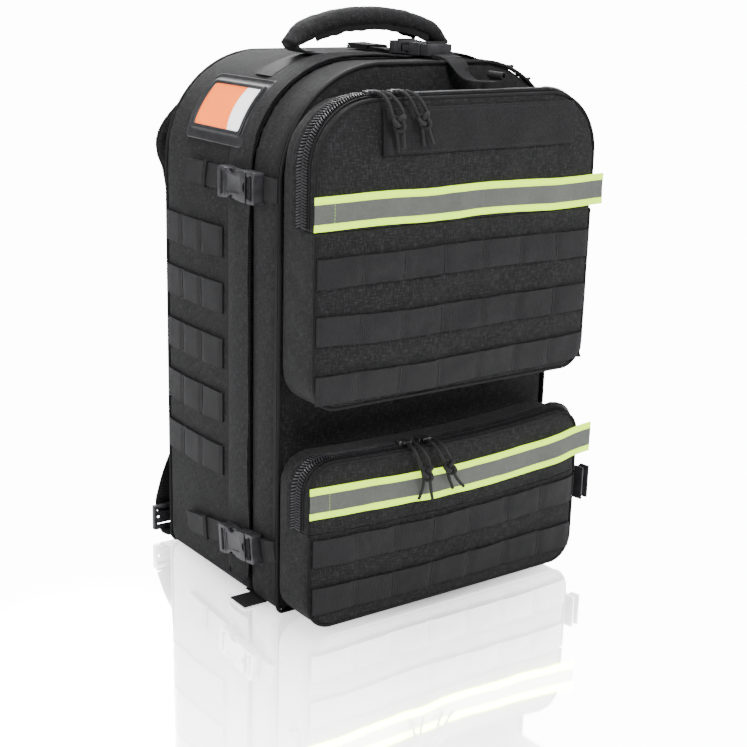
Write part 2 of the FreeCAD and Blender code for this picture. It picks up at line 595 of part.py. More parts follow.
# ---------------------------------------------------------------- pull cords
# Each pull is two strands that leave the slider's bail, meet in a knot and end in a loose tail.
PULL_CORDS = {
    "upper_pull_left_a": [(-94, -123.5, 469.2), (-93, -133, 469), (-90, -138, 458), (-85, -134.5, 446),
                          (-80, -133.5, 434), (-79, -133.5, 421)],
    "upper_pull_left_b": [(-88, -123.5, 469.2), (-86, -134, 468.5), (-79, -139, 457), (-77, -137.5, 446),
                          (-76, -136.5, 434), (-75.5, -137, 424)],
    "upper_pull_right_a": [(-70, -123.5, 469.2), (-70, -133, 469), (-66, -138, 458), (-59, -134.5, 447),
                           (-54, -133.5, 436), (-53, -133.5, 425)],
    "upper_pull_right_b": [(-64, -123.5, 469.2), (-61, -134, 468.5), (-55, -139, 457), (-51, -137.5, 446),
                           (-49.5, -136.5, 436), (-45, -137, 427)],
    "lower_pull_left_a": [(-49, -123.5, 163.2), (-50, -133, 163), (-47, -137.5, 151), (-42, -134, 138),
                          (-40, -133, 124), (-46, -133, 110)],
    "lower_pull_left_b": [(-43, -123.5, 163.2), (-42, -134, 162.5), (-37, -139, 150), (-35.5, -137.5, 138),
                          (-36, -136.5, 124), (-33, -137, 109)],
    "lower_pull_right_a": [(-27, -123.5, 163.2), (-27, -133, 163), (-22, -137.5, 151), (-16, -134, 139),
                           (-12, -133, 126), (-7, -133, 113)],
    "lower_pull_right_b": [(-21, -123.5, 163.2), (-19, -134, 162.5), (-14, -139, 150), (-10, -137.5, 139),
                           (-7, -136.5, 126), (3, -137, 114)],
    "main_pull_left": [(96.5, -35, 483.5), (98.5, -44, 483.3), (101, -53, 482), (101, -62, 481.5),
                       (98, -71, 482.5)],
    "main_pull_right": [(116.5, -35, 472.8), (119, -44, 471.5), (122, -53, 469), (122.5, -62, 468.5),
                        (119.5, -71, 471)],
}


def arc_tube(points, diameter):
    """A round tube of straight runs joined by tangent arcs; returns it with its length and radii."""
    pts = [V(*p) for p in points]
    edges, radii = [], []
    start = pts[0]
    for before, here, after in zip(pts, pts[1:], pts[2:]):
        a = (before - here)
        b = (after - here)
        turn = math.pi - a.getAngle(b)
        shorter = min(a.Length, b.Length)
        cut = 0.45 * shorter
        radius = cut / math.tan(turn / 2)
        ua = V(a).normalize()
        ub = V(b).normalize()
        p0 = here + ua * cut
        p1 = here + ub * cut
        middle = (ua + ub).normalize()
        apex = here + middle * (radius / math.cos(turn / 2) - radius)
        edges.append(Part.LineSegment(start, p0).toShape())
        edges.append(Part.Arc(p0, apex, p1).toShape())
        start = p1
        radii.append(round(radius, 1))
    edges.append(Part.LineSegment(start, pts[-1]).toShape())
    path = Part.Wire(edges)
    ring = Part.Wire(Part.makeCircle(diameter / 2, pts[0], pts[1] - pts[0]))
    tube = path.makePipeShell([ring], True, True)
    return tube, path.Length, radii


def pull_cords():
    for name, points in PULL_CORDS.items():
        tube, length, radii = arc_tube(points, CORD)
        expected = math.pi * CORD ** 2 / 4 * length
        print(name, "length %.1f mm" % length, "radii", radii, "volume ratio %.3f" % (tube.Volume / expected))
        save(name, tube)


# ---------------------------------------------------------------- build
shells()
side_rows()
pocket("upper_pocket", UPPER_POCKET_WIDTH, UPPER_POCKET_LOW, UPPER_POCKET_TOP, UPPER_POCKET_RADIUS,
       UPPER_FOLD_HEIGHT)
pocket("lower_pocket", LOWER_POCKET_WIDTH, LOWER_POCKET_LOW, LOWER_POCKET_TOP, LOWER_POCKET_RADIUS,
       LOWER_FOLD_HEIGHT)
pocket_rows("upper_webbing_rows", UPPER_ROW_LOW, 3)
pocket_rows("lower_webbing_rows", LOWER_ROW_LOW, 2)
lid_trim()
compression()
handle_webbing = carry_handle()
id_holder()
back_panel()
shoulder_straps()
ladder_locks(handle_webbing)
waist_belt()
sliders()
pull_cords()
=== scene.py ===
import math
from bisect import bisect_right

import bmesh
import bpy
import numpy as np
from mathutils import Matrix, Vector, kdtree, noise
from mathutils.bvhtree import BVHTree


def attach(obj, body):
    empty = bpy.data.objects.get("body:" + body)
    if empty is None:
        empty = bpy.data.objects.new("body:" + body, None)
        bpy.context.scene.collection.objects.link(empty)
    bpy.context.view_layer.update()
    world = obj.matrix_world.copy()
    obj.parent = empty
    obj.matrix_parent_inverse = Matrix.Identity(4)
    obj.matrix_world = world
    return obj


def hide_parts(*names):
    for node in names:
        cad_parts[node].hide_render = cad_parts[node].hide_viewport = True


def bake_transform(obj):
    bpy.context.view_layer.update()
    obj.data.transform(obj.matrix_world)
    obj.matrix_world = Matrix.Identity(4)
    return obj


# Trauma backpack: the cloth, webbing, zippers, buckles and finishes over the part's frame.
# Lengths are written in millimetres; each piece is scaled to metres once, where it is finished.
# +X is to the right seen from the front, +Y points to the wearer's back, +Z is up.

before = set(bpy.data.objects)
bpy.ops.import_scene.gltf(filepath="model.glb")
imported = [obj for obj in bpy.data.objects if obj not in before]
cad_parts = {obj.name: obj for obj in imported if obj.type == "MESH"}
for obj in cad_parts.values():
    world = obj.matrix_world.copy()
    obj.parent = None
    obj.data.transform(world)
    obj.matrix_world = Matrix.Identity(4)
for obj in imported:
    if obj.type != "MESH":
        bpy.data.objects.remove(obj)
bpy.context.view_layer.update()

MM = 0.001
HALF, HEIGHT = 155.0, 488.0
TOP_RADIUS = 100.0
SHOULDER = Vector((-55.0, 0.0, 388.0))       # axis of the left upper corner
BACK_Y, ZIP_Y, FRONT_Y = 128.0, -25.0, -77.0
POCKET_Y, LID_Y = -128.0, -113.0
UPPER = dict(half=154.0, low=204.0, top=464.0, r_top=57.0, fold=358.0)
LOWER = dict(half=156.0, low=4.0, top=158.0, r_top=28.0, fold=95.0)
POCKET_BASE = 25.0
JOIN_GAP = 0.3
WEBBING = 25.0
STRAP = 20.0
UPPER_STRAP_Z, LOWER_STRAP_Z, LOWER_STRAP_TILT = 385.0, 57.0, 7.0
TOP_STRAP_X = 25.0
BUCKLE_PIVOT_Y = -43.0                      # the buckles' sockets begin here, and the straps tilt about it
HOLDER_TURN = 56.3                          # degrees round the left upper corner to the holder's middle
BELT_Z = 70.5
LOCK_X = 148.0
PAD_SEAT = BACK_Y + 0.3                     # the back pads are sewn down here
SIDE_CELL = 36.34                           # stitching pitch of the side rows


# ---------------------------------------------------------------- camera
def camera():
    turn, drop, roll = math.radians(36.25), math.radians(16.02), math.radians(1.56)
    ahead = Vector((math.sin(turn) * math.cos(drop), math.cos(turn) * math.cos(drop), -math.sin(drop)))
    side = Vector((math.cos(turn), -math.sin(turn), 0.0))
    above = side.cross(ahead)
    x = side * math.cos(roll) + above * math.sin(roll)
    y = above * math.cos(roll) - side * math.sin(roll)
    lens = bpy.data.cameras.new("camera")
    lens.lens = 69.2
    lens.sensor_width = 36.0
    made = bpy.data.objects.new("camera", lens)
    bpy.context.scene.collection.objects.link(made)
    made.matrix_world = Matrix.Translation((-0.7929, -1.0837, 0.5717)) @ Matrix((x, y,
            -ahead)).transposed().to_4x4()
    bpy.context.scene.camera = made


# ---------------------------------------------------------------- shader building
def node(tree, kind, inputs=(), **settings):
    made = tree.nodes.new("ShaderNode" + kind)
    for key, value in settings.items():
        setattr(made, key, value)
    for key, value in dict(inputs).items():
        if isinstance(value, bpy.types.NodeSocket):
            tree.links.new(value, made.inputs[key])
        else:
            made.inputs[key].default_value = value
    return made


def calc(tree, operation, a, b=0.0, clamp=False):
    return node(tree, "Math", {0: a, 1: b}, operation=operation, use_clamp=clamp).outputs[0]


def blend_colour(tree, amount, first, second):
    return node(tree, "Mix", {0: amount, 6: first, 7: second}, data_type="RGBA").outputs[2]


def ramp(tree, value, low, high, to_low=0.0, to_high=1.0):
    made = node(tree, "MapRange", {0: value, 1: low, 2: high, 3: to_low, 4: to_high})
    return made.outputs[0]


def shader_group(name, inputs, outputs, build):
    """A node group with float or vector inputs; build returns its output sockets."""
    group = bpy.data.node_groups.new(name, "ShaderNodeTree")
    for label, value in inputs.items():
        kind = "NodeSocketVector" if value is None else "NodeSocketFloat"
        socket = group.interface.new_socket(label, in_out="INPUT", socket_type=kind)
        if value is not None:
            socket.default_value = value
    for label in outputs:
        group.interface.new_socket(label, in_out="OUTPUT", socket_type="NodeSocketFloat")
    entry = group.nodes.new("NodeGroupInput")
    leave = group.nodes.new("NodeGroupOutput")
    for label, socket in zip(outputs, build(group, entry.outputs)):
        group.links.new(socket, leave.inputs[label])
    return group


def use(tree, group, **inputs):
    made = tree.nodes.new("ShaderNodeGroup")
    made.node_tree = group
    for key, value in inputs.items():
        if isinstance(value, bpy.types.NodeSocket):
            tree.links.new(value, made.inputs[key])
        else:
            made.inputs[key].default_value = value
    return made.outputs


def waves(tree, value, pitch):
    """Rounded ridges, one to each pitch."""
    return calc(tree, "ABSOLUTE", calc(tree, "SINE", calc(tree, "MULTIPLY", value, math.pi / pitch)))


def build_weave(tree, given):
    split = node(tree, "SeparateXYZ", {0: given["Place"]}).outputs
    u = calc(tree, "DIVIDE", split[0], given["Pitch"])
    v = calc(tree, "DIVIDE", split[1], given["Pitch"])
    over = node(tree, "TexChecker", {"Vector": node(tree, "CombineXYZ", {0: u, 1: v, 2: 0.5}).outputs[0],
                                     "Scale": 1.0,
                                     "Color1": (1, 1, 1, 1), "Color2": (0, 0, 0, 1)}).outputs["Fac"]
    warp, weft = waves(tree, u, 1.0), waves(tree, v, 1.0)
    height = node(tree, "Mix", {0: over, 2: warp, 3: weft}, data_type="FLOAT").outputs[0]
    return height, over


def build_ribs(tree, given):
    split = node(tree, "SeparateXYZ", {0: given["Place"]}).outputs
    rib = waves(tree, calc(tree, "DIVIDE", split[0], given["Pitch"]), 1.0)
    rib = calc(tree, "POWER", rib, 0.6)
    warp = waves(tree, split[1], 1.3)
    height = calc(tree, "MULTIPLY", rib, ramp(tree, warp, 0.0, 1.0, 0.72, 1.0))
    return height, rib


def build_fade(tree, given):
    broad = node(tree, "TexNoise", {"Vector": given["Place"], "Scale": given["Broad"],
                                    "Detail": 3.0}).outputs[0]
    fine = node(tree, "TexNoise", {"Vector": given["Place"], "Scale": given["Fine"],
                                   "Detail": 2.0}).outputs[0]
    mixed = calc(tree, "ADD", calc(tree, "MULTIPLY", broad, 0.65), calc(tree, "MULTIPLY", fine, 0.35))
    return ramp(tree, mixed, 0.3, 0.7), fine


def build_stitch(tree, given):
    off = calc(tree, "ABSOLUTE", calc(tree, "SUBTRACT", given["Across"], given["Line"]))
    line = calc(tree, "LESS_THAN", off, given["Width"])
    share = calc(tree, "FRACT", calc(tree, "DIVIDE", given["Along"], given["Pitch"]))
    dash = calc(tree, "LESS_THAN", share, 0.66)
    return calc(tree, "MULTIPLY", line, dash), line


def build_wear(tree, given):
    edge = node(tree, "Attribute", attribute_name="edge").outputs["Fac"]
    patchy = node(tree, "TexNoise", {"Vector": given["Place"], "Scale": 140.0, "Detail": 4.0}).outputs[0]
    worn = calc(tree, "MULTIPLY", edge, ramp(tree, patchy, 0.38, 0.62))
    return (calc(tree, "MULTIPLY", worn, given["Amount"]),)


def build_slub(tree, given):
    """Yarns that are a little thicker or thinner than the rest, along both ways of the cloth."""
    both = []
    for stretch in ((0.16, 0.75, 1.0), (0.75, 0.16, 1.0)):
        place = node(tree, "VectorMath", {0: given["Place"], 1: stretch}, operation="MULTIPLY").outputs[0]
        both.append(node(tree, "TexNoise", {"Vector": place, "Scale": 1.0, "Detail": 2.0}).outputs[0])
    mixed = calc(tree, "MULTIPLY", calc(tree, "ADD", both[0], both[1]), 0.5)
    return ramp(tree, mixed, 0.51, 0.62, 0.0, 0.9), ramp(tree, mixed, 0.49, 0.4, 0.0, 0.85)


WEAVE = shader_group("plain weave", {"Place": None, "Pitch": 1.0}, ["Height", "Over"], build_weave)
RIBS = shader_group("webbing ribs", {"Place": None, "Pitch": 1.7}, ["Height", "Rib"], build_ribs)
FADE = shader_group("dye fade", {"Place": None, "Broad": 9.0, "Fine": 260.0}, ["Tone", "Fibre"], build_fade)
STITCH = shader_group("stitch line", {"Along": 0.0, "Across": 0.0, "Line": 0.0, "Width": 0.5, "Pitch": 3.2},
                      ["Thread", "Groove"], build_stitch)
SLUB = shader_group("uneven yarns", {"Place": None}, ["Light", "Dark"], build_slub)
WEAR = shader_group("edge wear", {"Place": None, "Amount": 1.0}, ["Worn"], build_wear)


def material(name, roughness, **constants):
    made = bpy.data.materials.new(name)
    made.use_nodes = True
    tree = made.node_tree
    shader = tree.nodes["Principled BSDF"]
    shader.inputs["Roughness"].default_value = roughness
    for key, value in constants.items():
        shader.inputs[key.replace("_", " ")].default_value = value
    return made, tree, shader


def feed(tree, shader, colour=None, roughness=None, height=None, depth=0.2, strength=1.0):
    """Join a colour, a roughness and a height in millimetres to a shader."""
    if colour is not None:
        tree.links.new(colour, shader.inputs["Base Color"])
    if roughness is not None:
        tree.links.new(roughness, shader.inputs["Roughness"])
    if height is not None:
        bump = node(tree, "Bump", {"Height": height, "Distance": depth * MM, "Strength": strength})
        tree.links.new(bump.outputs[0], shader.inputs["Normal"])


def places(tree):
    """The piece's own UV map, in millimetres, and its object coordinates, in metres."""
    coords = node(tree, "TexCoord").outputs
    return coords["UV"], coords["Object"]


def grey(value, warm=0.0):
    return (value * (1 + warm), value * 0.97, value * 1.07 * (1 - warm), 1.0)


def cloth_finish(name, tone, pitch=1.05, rough=0.78, spread=0.3, depth=0.16, sheen=0.12):
    made, tree, shader = material(name, rough, Sheen_Weight=sheen, Sheen_Roughness=0.45,
                                  Specular_IOR_Level=0.3)
    uv, place = places(tree)
    weave = use(tree, WEAVE, Place=uv, Pitch=pitch)
    fade = use(tree, FADE, Place=place)
    low, high = grey(tone * (1 - spread)), grey(tone * (1 + spread))
    colour = blend_colour(tree, fade["Tone"], low, high)
    # The weave's hollows are painted darker: painted shade between the yarns, mixed in at 0.6.
    painted_weave_shade = blend_colour(tree, weave["Height"], grey(tone * 0.3), colour)
    colour = blend_colour(tree, 0.6, colour, painted_weave_shade)
    slub = use(tree, SLUB, Place=uv)
    colour = blend_colour(tree, slub["Light"], colour, grey(tone * 3.0))
    colour = blend_colour(tree, slub["Dark"], colour, grey(tone * 0.25))
    roughness = ramp(tree, weave["Height"], 0.0, 1.0, rough + 0.12, rough - 0.1)
    height = calc(tree, "ADD", weave["Height"], calc(tree, "MULTIPLY", fade["Fibre"], 0.5))
    feed(tree, shader, colour, roughness, height, depth)
    return made


def webbing_finish(name, tone, pitch=1.7, rough=0.62, depth=0.22, line=None):
    made, tree, shader = material(name, rough, Sheen_Weight=0.03, Sheen_Roughness=0.4,
                                  Specular_IOR_Level=0.28)
    uv, place = places(tree)
    ribs = use(tree, RIBS, Place=uv, Pitch=pitch)
    fade = use(tree, FADE, Place=place, Broad=14.0)
    colour = blend_colour(tree, fade["Tone"], grey(tone * 0.78), grey(tone * 1.2))
    # The rib valleys are painted darker: painted shade between the ribs.
    colour = blend_colour(tree, ramp(tree, ribs["Height"], 0.0, 0.8, 0.55, 0.0), colour, grey(tone * 0.35))
    roughness = ramp(tree, ribs["Height"], 0.0, 1.0, rough + 0.15, rough - 0.08)
    height = ribs["Height"]
    if line is not None:
        split = node(tree, "SeparateXYZ", {0: uv}).outputs
        across = calc(tree, "ABSOLUTE", split[1])
        stitch = use(tree, STITCH, Along=split[0], Across=across, Line=line, Width=0.45, Pitch=3.0)
        colour = blend_colour(tree, stitch["Thread"], colour, grey(tone * 1.5))
        height = calc(tree, "SUBTRACT", calc(tree, "ADD", height, stitch["Thread"]),
                      calc(tree, "MULTIPLY", stitch["Groove"], 0.6))
    feed(tree, shader, colour, roughness, height, depth)
    return made


def plastic_finish(name, tone, rough, wear=0.6, coat=0.0):
    made, tree, shader = material(name, rough, Specular_IOR_Level=0.5, Coat_Weight=coat, Coat_Roughness=0.25)
    _, place = places(tree)
    grain = node(tree, "TexNoise", {"Vector": place, "Scale": 1400.0, "Detail": 2.0}).outputs[0]
    fade = use(tree, FADE, Place=place, Broad=40.0)
    worn = use(tree, WEAR, Place=place, Amount=wear)["Worn"]
    colour = blend_colour(tree, fade["Tone"], grey(tone * 0.9, -0.02), grey(tone * 1.12, -0.02))
    colour = blend_colour(tree, worn, colour, grey(tone * 2.6))
    roughness = calc(tree, "ADD", ramp(tree, grain, 0.3, 0.7, rough - 0.05, rough + 0.08),
                     calc(tree, "MULTIPLY", worn, -0.06))
    feed(tree, shader, colour, roughness, grain, 0.03, 0.5)
    return made


def metal_finish(name, tone):
    made, tree, shader = material(name, 0.32, Metallic=0.85)
    _, place = places(tree)
    scuff = node(tree, "TexNoise", {"Vector": place, "Scale": 600.0, "Detail": 5.0}).outputs[0]
    worn = use(tree, WEAR, Place=place, Amount=0.9)["Worn"]
    colour = blend_colour(tree, worn, grey(tone), (0.34, 0.33, 0.31, 1.0))
    feed(tree, shader, colour, ramp(tree, scuff, 0.3, 0.7, 0.24, 0.42), scuff, 0.02, 0.4)
    return made


def coil_finish():
    made, tree, shader = material("zipper coil", 0.36, Specular_IOR_Level=0.6, Coat_Weight=0.2,
                                  Coat_Roughness=0.3)
    _, place = places(tree)
    fade = use(tree, FADE, Place=place, Broad=60.0, Fine=900.0)
    colour = blend_colour(tree, fade["Tone"], grey(0.02), grey(0.04))
    feed(tree, shader, colour, ramp(tree, fade["Fibre"], 0.3, 0.7, 0.26, 0.4), fade["Fibre"], 0.03)
    return made


def tape_finish():
    """Lime edges round a silver-grey reflective middle, with the rows of stitching that hold it; the lime edges glow
    as painted light and are painted darker in the weave's hollows as painted shade.
    """
    made, tree, shader = material("reflective tape", 0.5, Specular_IOR_Level=0.5)
    uv, place = places(tree)
    split = node(tree, "SeparateXYZ", {0: uv}).outputs
    along, across = split[0], calc(tree, "ABSOLUTE", split[1])
    middle = calc(tree, "LESS_THAN", across, 8.2)
    fade = use(tree, FADE, Place=place, Broad=18.0)
    weave = use(tree, WEAVE, Place=uv, Pitch=0.8)
    lime = blend_colour(tree, fade["Tone"], (0.52, 0.98, 0.004, 1), (0.62, 1.0, 0.01, 1))
    # The lime is painted darker where the weave sinks: painted shade in its hollows.
    lime = blend_colour(tree, calc(tree, "MULTIPLY", calc(tree, "SUBTRACT", 1.0, weave["Height"]), 0.22),
                        lime,
                        (0.25, 0.5, 0.03, 1))
    beads = node(tree, "TexVoronoi", {"Vector": place, "Scale": 900.0}).outputs["Distance"]
    silver = blend_colour(tree, fade["Tone"], (0.115, 0.122, 0.107, 1), (0.165, 0.175, 0.155, 1))
    silver = blend_colour(tree, ramp(tree, beads, 0.0, 0.7, 0.0, 0.35), silver, (0.06, 0.065, 0.055, 1))
    colour = blend_colour(tree, middle, lime, silver)
    # The lime edges glow through emission: painted light, brighter than the lamps make them.
    glow = blend_colour(tree, middle, (0.62, 1.0, 0.01, 1), (0.0, 0.0, 0.0, 1))
    tree.links.new(glow, shader.inputs["Emission Color"])
    shader.inputs["Emission Strength"].default_value = 1.8
    inner = use(tree, STITCH, Along=along, Across=across, Line=9.6, Width=0.45, Pitch=2.8)
    outer = use(tree, STITCH, Along=along, Across=across, Line=13.0, Width=0.4, Pitch=2.8)
    ends = use(tree, STITCH, Along=split[1], Across=along, Line=19.0, Width=0.45, Pitch=2.8)
    threads = calc(tree, "MAXIMUM", calc(tree, "MAXIMUM", inner["Thread"], outer["Thread"]), ends["Thread"])
    grooves = calc(tree, "MAXIMUM", inner["Groove"], outer["Groove"])
    colour = blend_colour(tree, calc(tree, "MULTIPLY", threads, 0.75), colour, (0.36, 0.6, 0.1, 1))
    roughness = ramp(tree, middle, 0.0, 1.0, 0.72, 0.4)
    height = calc(tree, "SUBTRACT", calc(tree, "ADD", weave["Height"], threads),
                  calc(tree, "MULTIPLY", grooves, 0.9))
    feed(tree, shader, colour, roughness, height, 0.14)
    return made


def loop_finish():
    made, tree, shader = material("loop fabric", 0.92, Sheen_Weight=0.08, Sheen_Roughness=0.6,
                                  Specular_IOR_Level=0.2)
    uv, place = places(tree)
    pile = node(tree, "TexNoise", {"Vector": place, "Scale": 900.0, "Detail": 3.0,
                                   "Roughness": 0.7}).outputs[0]
    loops = node(tree, "TexVoronoi", {"Vector": place, "Scale": 620.0}).outputs["Distance"]
    fade = use(tree, FADE, Place=place, Broad=16.0)
    split = node(tree, "SeparateXYZ", {0: uv}).outputs
    hem = use(tree, STITCH, Along=split[0], Across=calc(tree, "ABSOLUTE", split[1]), Line=16.6, Width=0.5,
              Pitch=3.0)
    colour = blend_colour(tree, fade["Tone"], grey(0.011), grey(0.019))
    # Darker where the loops sink: painted shade in the hollows between the loops.
    colour = blend_colour(tree, ramp(tree, loops, 0.1, 0.6, 0.0, 0.5), colour, grey(0.004))
    colour = blend_colour(tree, hem["Thread"], colour, grey(0.016))
    height = calc(tree, "SUBTRACT", calc(tree, "ADD", pile, calc(tree, "MULTIPLY", loops, -0.6)),
                  hem["Groove"])
    feed(tree, shader, colour, None, height, 0.5)
    return made


def mesh_finish():
    """Open spacer mesh over foam, for the pieces that touch the wearer."""
    made, tree, shader = material("spacer mesh", 0.85, Sheen_Weight=0.05, Specular_IOR_Level=0.3)
    uv, place = places(tree)
    holes = node(tree, "TexVoronoi", {"Vector": uv, "Scale": 0.34, "Randomness": 0.12}).outputs["Distance"]
    shaded_holes = ramp(tree, holes, 0.25, 0.42, 1.0, 0.0)
    fade = use(tree, FADE, Place=place, Broad=10.0)
    colour = blend_colour(tree, fade["Tone"], grey(0.010), grey(0.018))
    # The holes are painted near-black: painted shade inside them, where the surface has no real opening.
    colour = blend_colour(tree, shaded_holes, colour, grey(0.002))
    height = calc(tree, "ADD", calc(tree, "SUBTRACT", 1.0, shaded_holes), calc(tree, "MULTIPLY", fade["Fibre"], 0.3))
    feed(tree, shader, colour, None, height, 0.7)
    return made


def cord_finish():
    made, tree, shader = material("pull cord", 0.6, Sheen_Weight=0.05, Specular_IOR_Level=0.4)
    _, place = places(tree)
    split = node(tree, "SeparateXYZ", {0: place}).outputs
    one = waves(tree, calc(tree, "ADD", split[0], split[2]), 0.0011)
    two = waves(tree, calc(tree, "SUBTRACT", split[0], split[2]), 0.0011)
    braid = calc(tree, "MULTIPLY", one, two)
    fade = use(tree, FADE, Place=place, Broad=60.0, Fine=1500.0)
    colour = blend_colour(tree, fade["Tone"], grey(0.009), grey(0.017))
    # Darker in the braid's grooves: painted shade between the strands.
    colour = blend_colour(tree, ramp(tree, braid, 0.0, 0.5, 0.6, 0.0), colour, grey(0.003))
    feed(tree, shader, colour, None, braid, 0.3)
    return made


def card_finish():
    """A plain printed card: orange, with a white field behind a curved edge; its colours also glow as painted light.
    """
    made, tree, shader = material("identification card", 0.5, Specular_IOR_Level=0.4)
    _, place = places(tree)
    split = node(tree, "SeparateXYZ", {0: place}).outputs
    along = calc(tree, "SUBTRACT", split[1], 0.022)
    rise = calc(tree, "SUBTRACT", split[2], 0.447)
    bow = calc(tree, "MULTIPLY", calc(tree, "MULTIPLY", rise, rise), 9.0)
    field = calc(tree, "LESS_THAN", calc(tree, "ADD", along, bow), 0.004)
    paper = node(tree, "TexNoise", {"Vector": place, "Scale": 500.0, "Detail": 3.0}).outputs[0]
    orange = blend_colour(tree, paper, (0.95, 0.15, 0.002, 1), (1.0, 0.21, 0.006, 1))
    white = blend_colour(tree, paper, (0.88, 0.89, 0.91, 1), (0.96, 0.96, 0.97, 1))
    colour = blend_colour(tree, field, orange, white)
    # The card's printed colours also glow through emission: painted light that makes the card brighter than its lamps
    # would.
    tree.links.new(colour, shader.inputs["Emission Color"])
    shader.inputs["Emission Strength"].default_value = 2.6
    feed(tree, shader, colour, ramp(tree, paper, 0.3, 0.7, 0.42, 0.6), paper, 0.02)
    return made


def window_finish():
    made, tree, shader = material("clear window", 0.06, IOR=1.45, Transmission_Weight=1.0,
                                  Specular_IOR_Level=0.5)
    _, place = places(tree)
    ripple = node(tree, "TexNoise", {"Vector": place, "Scale": 26.0, "Detail": 2.0}).outputs[0]
    scratch = node(tree, "TexNoise", {"Vector": place, "Scale": 900.0, "Detail": 2.0}).outputs[0]
    feed(tree, shader, blend_colour(tree, ripple, (0.96, 0.96, 0.96, 1), (1, 1, 1, 1)),
         ramp(tree, scratch, 0.55, 0.8, 0.04, 0.2), ripple, 0.6, 0.5)
    return made


CLOTH = cloth_finish("pack cloth", 0.0085, sheen=0.05)
LINING = cloth_finish("lining cloth", 0.02, pitch=0.6, rough=0.6, depth=0.06, sheen=0.04)
FLAP_CLOTH = cloth_finish("flap cloth", 0.009, pitch=0.9, sheen=0.05)
WEB = webbing_finish("load webbing", 0.0135)
WEB_SEWN = webbing_finish("sewn strap webbing", 0.012, line=10.6)
BINDING = webbing_finish("seam binding", 0.006, pitch=0.9, rough=0.7, depth=0.1)
THREAD = webbing_finish("bar tack thread", 0.017, pitch=0.55, rough=0.5, depth=0.25)
ZIP_TAPE = webbing_finish("zipper tape", 0.006, pitch=0.8, rough=0.75, depth=0.08)
COIL = coil_finish()
PLASTIC = plastic_finish("buckle plastic", 0.026, 0.36, 0.5)
FRAME_PLASTIC = plastic_finish("holder frame", 0.015, 0.48, 0.35, 0.0)
METAL = metal_finish("slider metal", 0.09)
TAPE = tape_finish()
LOOP = loop_finish()
MESH = mesh_finish()
CORD = cord_finish()
CARD = card_finish()
WINDOW = window_finish()


# ---------------------------------------------------------------- mesh building
def loose(name, bm):
    """A new object from a shape in millimetres, at the origin."""
    bmesh.ops.scale(bm, vec=(MM, MM, MM), verts=bm.verts)
    mesh = bpy.data.meshes.new(name)
    bm.to_mesh(mesh)
    bm.free()
    made = bpy.data.objects.new(name, mesh)
    bpy.context.scene.collection.objects.link(made)
    return made


def evaluated_mesh(obj):
    graph = bpy.context.evaluated_depsgraph_get()
    return bpy.data.meshes.new_from_object(obj.evaluated_get(graph), depsgraph=graph)


def mark_edges(bm):
    """Store how sharp the shape is at each point, for wear."""
    layer = bm.verts.layers.float.new("edge")
    for vert in bm.verts:
        turns = [e.calc_face_angle(0.0) for e in vert.link_edges if len(e.link_faces) == 2]
        vert[layer] = min(1.0, max(turns, default=0.0) / 0.6)


def piece(name, bm, finish, body, slot, stands_for=(), smooth=35.0, worn=False, bend=None):
    """Finish a shape: scale it, shade it, give it its material and its body; a piece given a bend is only baked in
    place, not hung from a body.
    """
    if worn:
        mark_edges(bm)
    made = loose(name, bm)
    return dress(made, finish, body, slot, stands_for, smooth, bend)


def dress(made, finish, body, slot, stands_for=(), smooth=35.0, bend=None):
    mesh = made.data
    mesh.materials.clear()
    mesh.materials.append(finish)
    mesh.shade_smooth()
    if smooth is not None:
        mesh.set_sharp_from_angle(angle=math.radians(smooth))
    if bend is None:
        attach(made, body)
    else:
        other, start, end = bend
        [c * MM for c in start]
        [c * MM for c in end]
        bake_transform(made)
    if stands_for:
        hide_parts(*stands_for)
    return made


def lay_uv(bm, rule):
    layer = bm.loops.layers.uv.verify()
    for face in bm.faces:
        for loop in face.loops:
            loop[layer].uv = rule(loop.vert.co, face.normal)


def flat_band(length, width, thick, step=4.0, across=4, start=0.0):
    """A straight band on Z = 0: X along it, Y across it, with UVs in millimetres."""
    bm = bmesh.new()
    bmesh.ops.create_grid(bm, x_segments=max(1, round(length / step)), y_segments=across, size=0.5)
    bmesh.ops.scale(bm, vec=(length, width, 1.0), verts=bm.verts)
    bmesh.ops.translate(bm, vec=(start + length / 2, 0.0, 0.0), verts=bm.verts)
    lay_uv(bm, lambda co, _: (co.x, co.y))
    bmesh.ops.solidify(bm, geom=bm.faces[:], thickness=thick)
    low = min(v.co.z for v in bm.verts)
    bmesh.ops.translate(bm, vec=(0.0, 0.0, -low), verts=bm.verts)
    bmesh.ops.recalc_face_normals(bm, faces=bm.faces)
    return bm


def repeat(bm, count, pitch):
    """Repeat the whole shape along X, doubling it each time."""
    made = 1
    while made < count:
        more = min(made, count - made)
        if more == made:
            source = bm.verts[:] + bm.edges[:] + bm.faces[:]
        else:
            edge = (more - 0.5) * pitch + repeat_start(bm)
            source_faces = [f for f in bm.faces if f.calc_center_median().x < edge]
            points = {v for f in source_faces for v in f.verts}
            lines = {e for f in source_faces for e in f.edges}
            source = list(points) + list(lines) + source_faces
        new = bmesh.ops.duplicate(bm, geom=source)["geom"]
        bmesh.ops.translate(bm, vec=(made * pitch, 0, 0), verts=[g for g in new if isinstance(g,
                bmesh.types.BMVert)])
        made += more
    return bm


def repeat_start(bm):
    return min(v.co.x for v in bm.verts) + 0.6


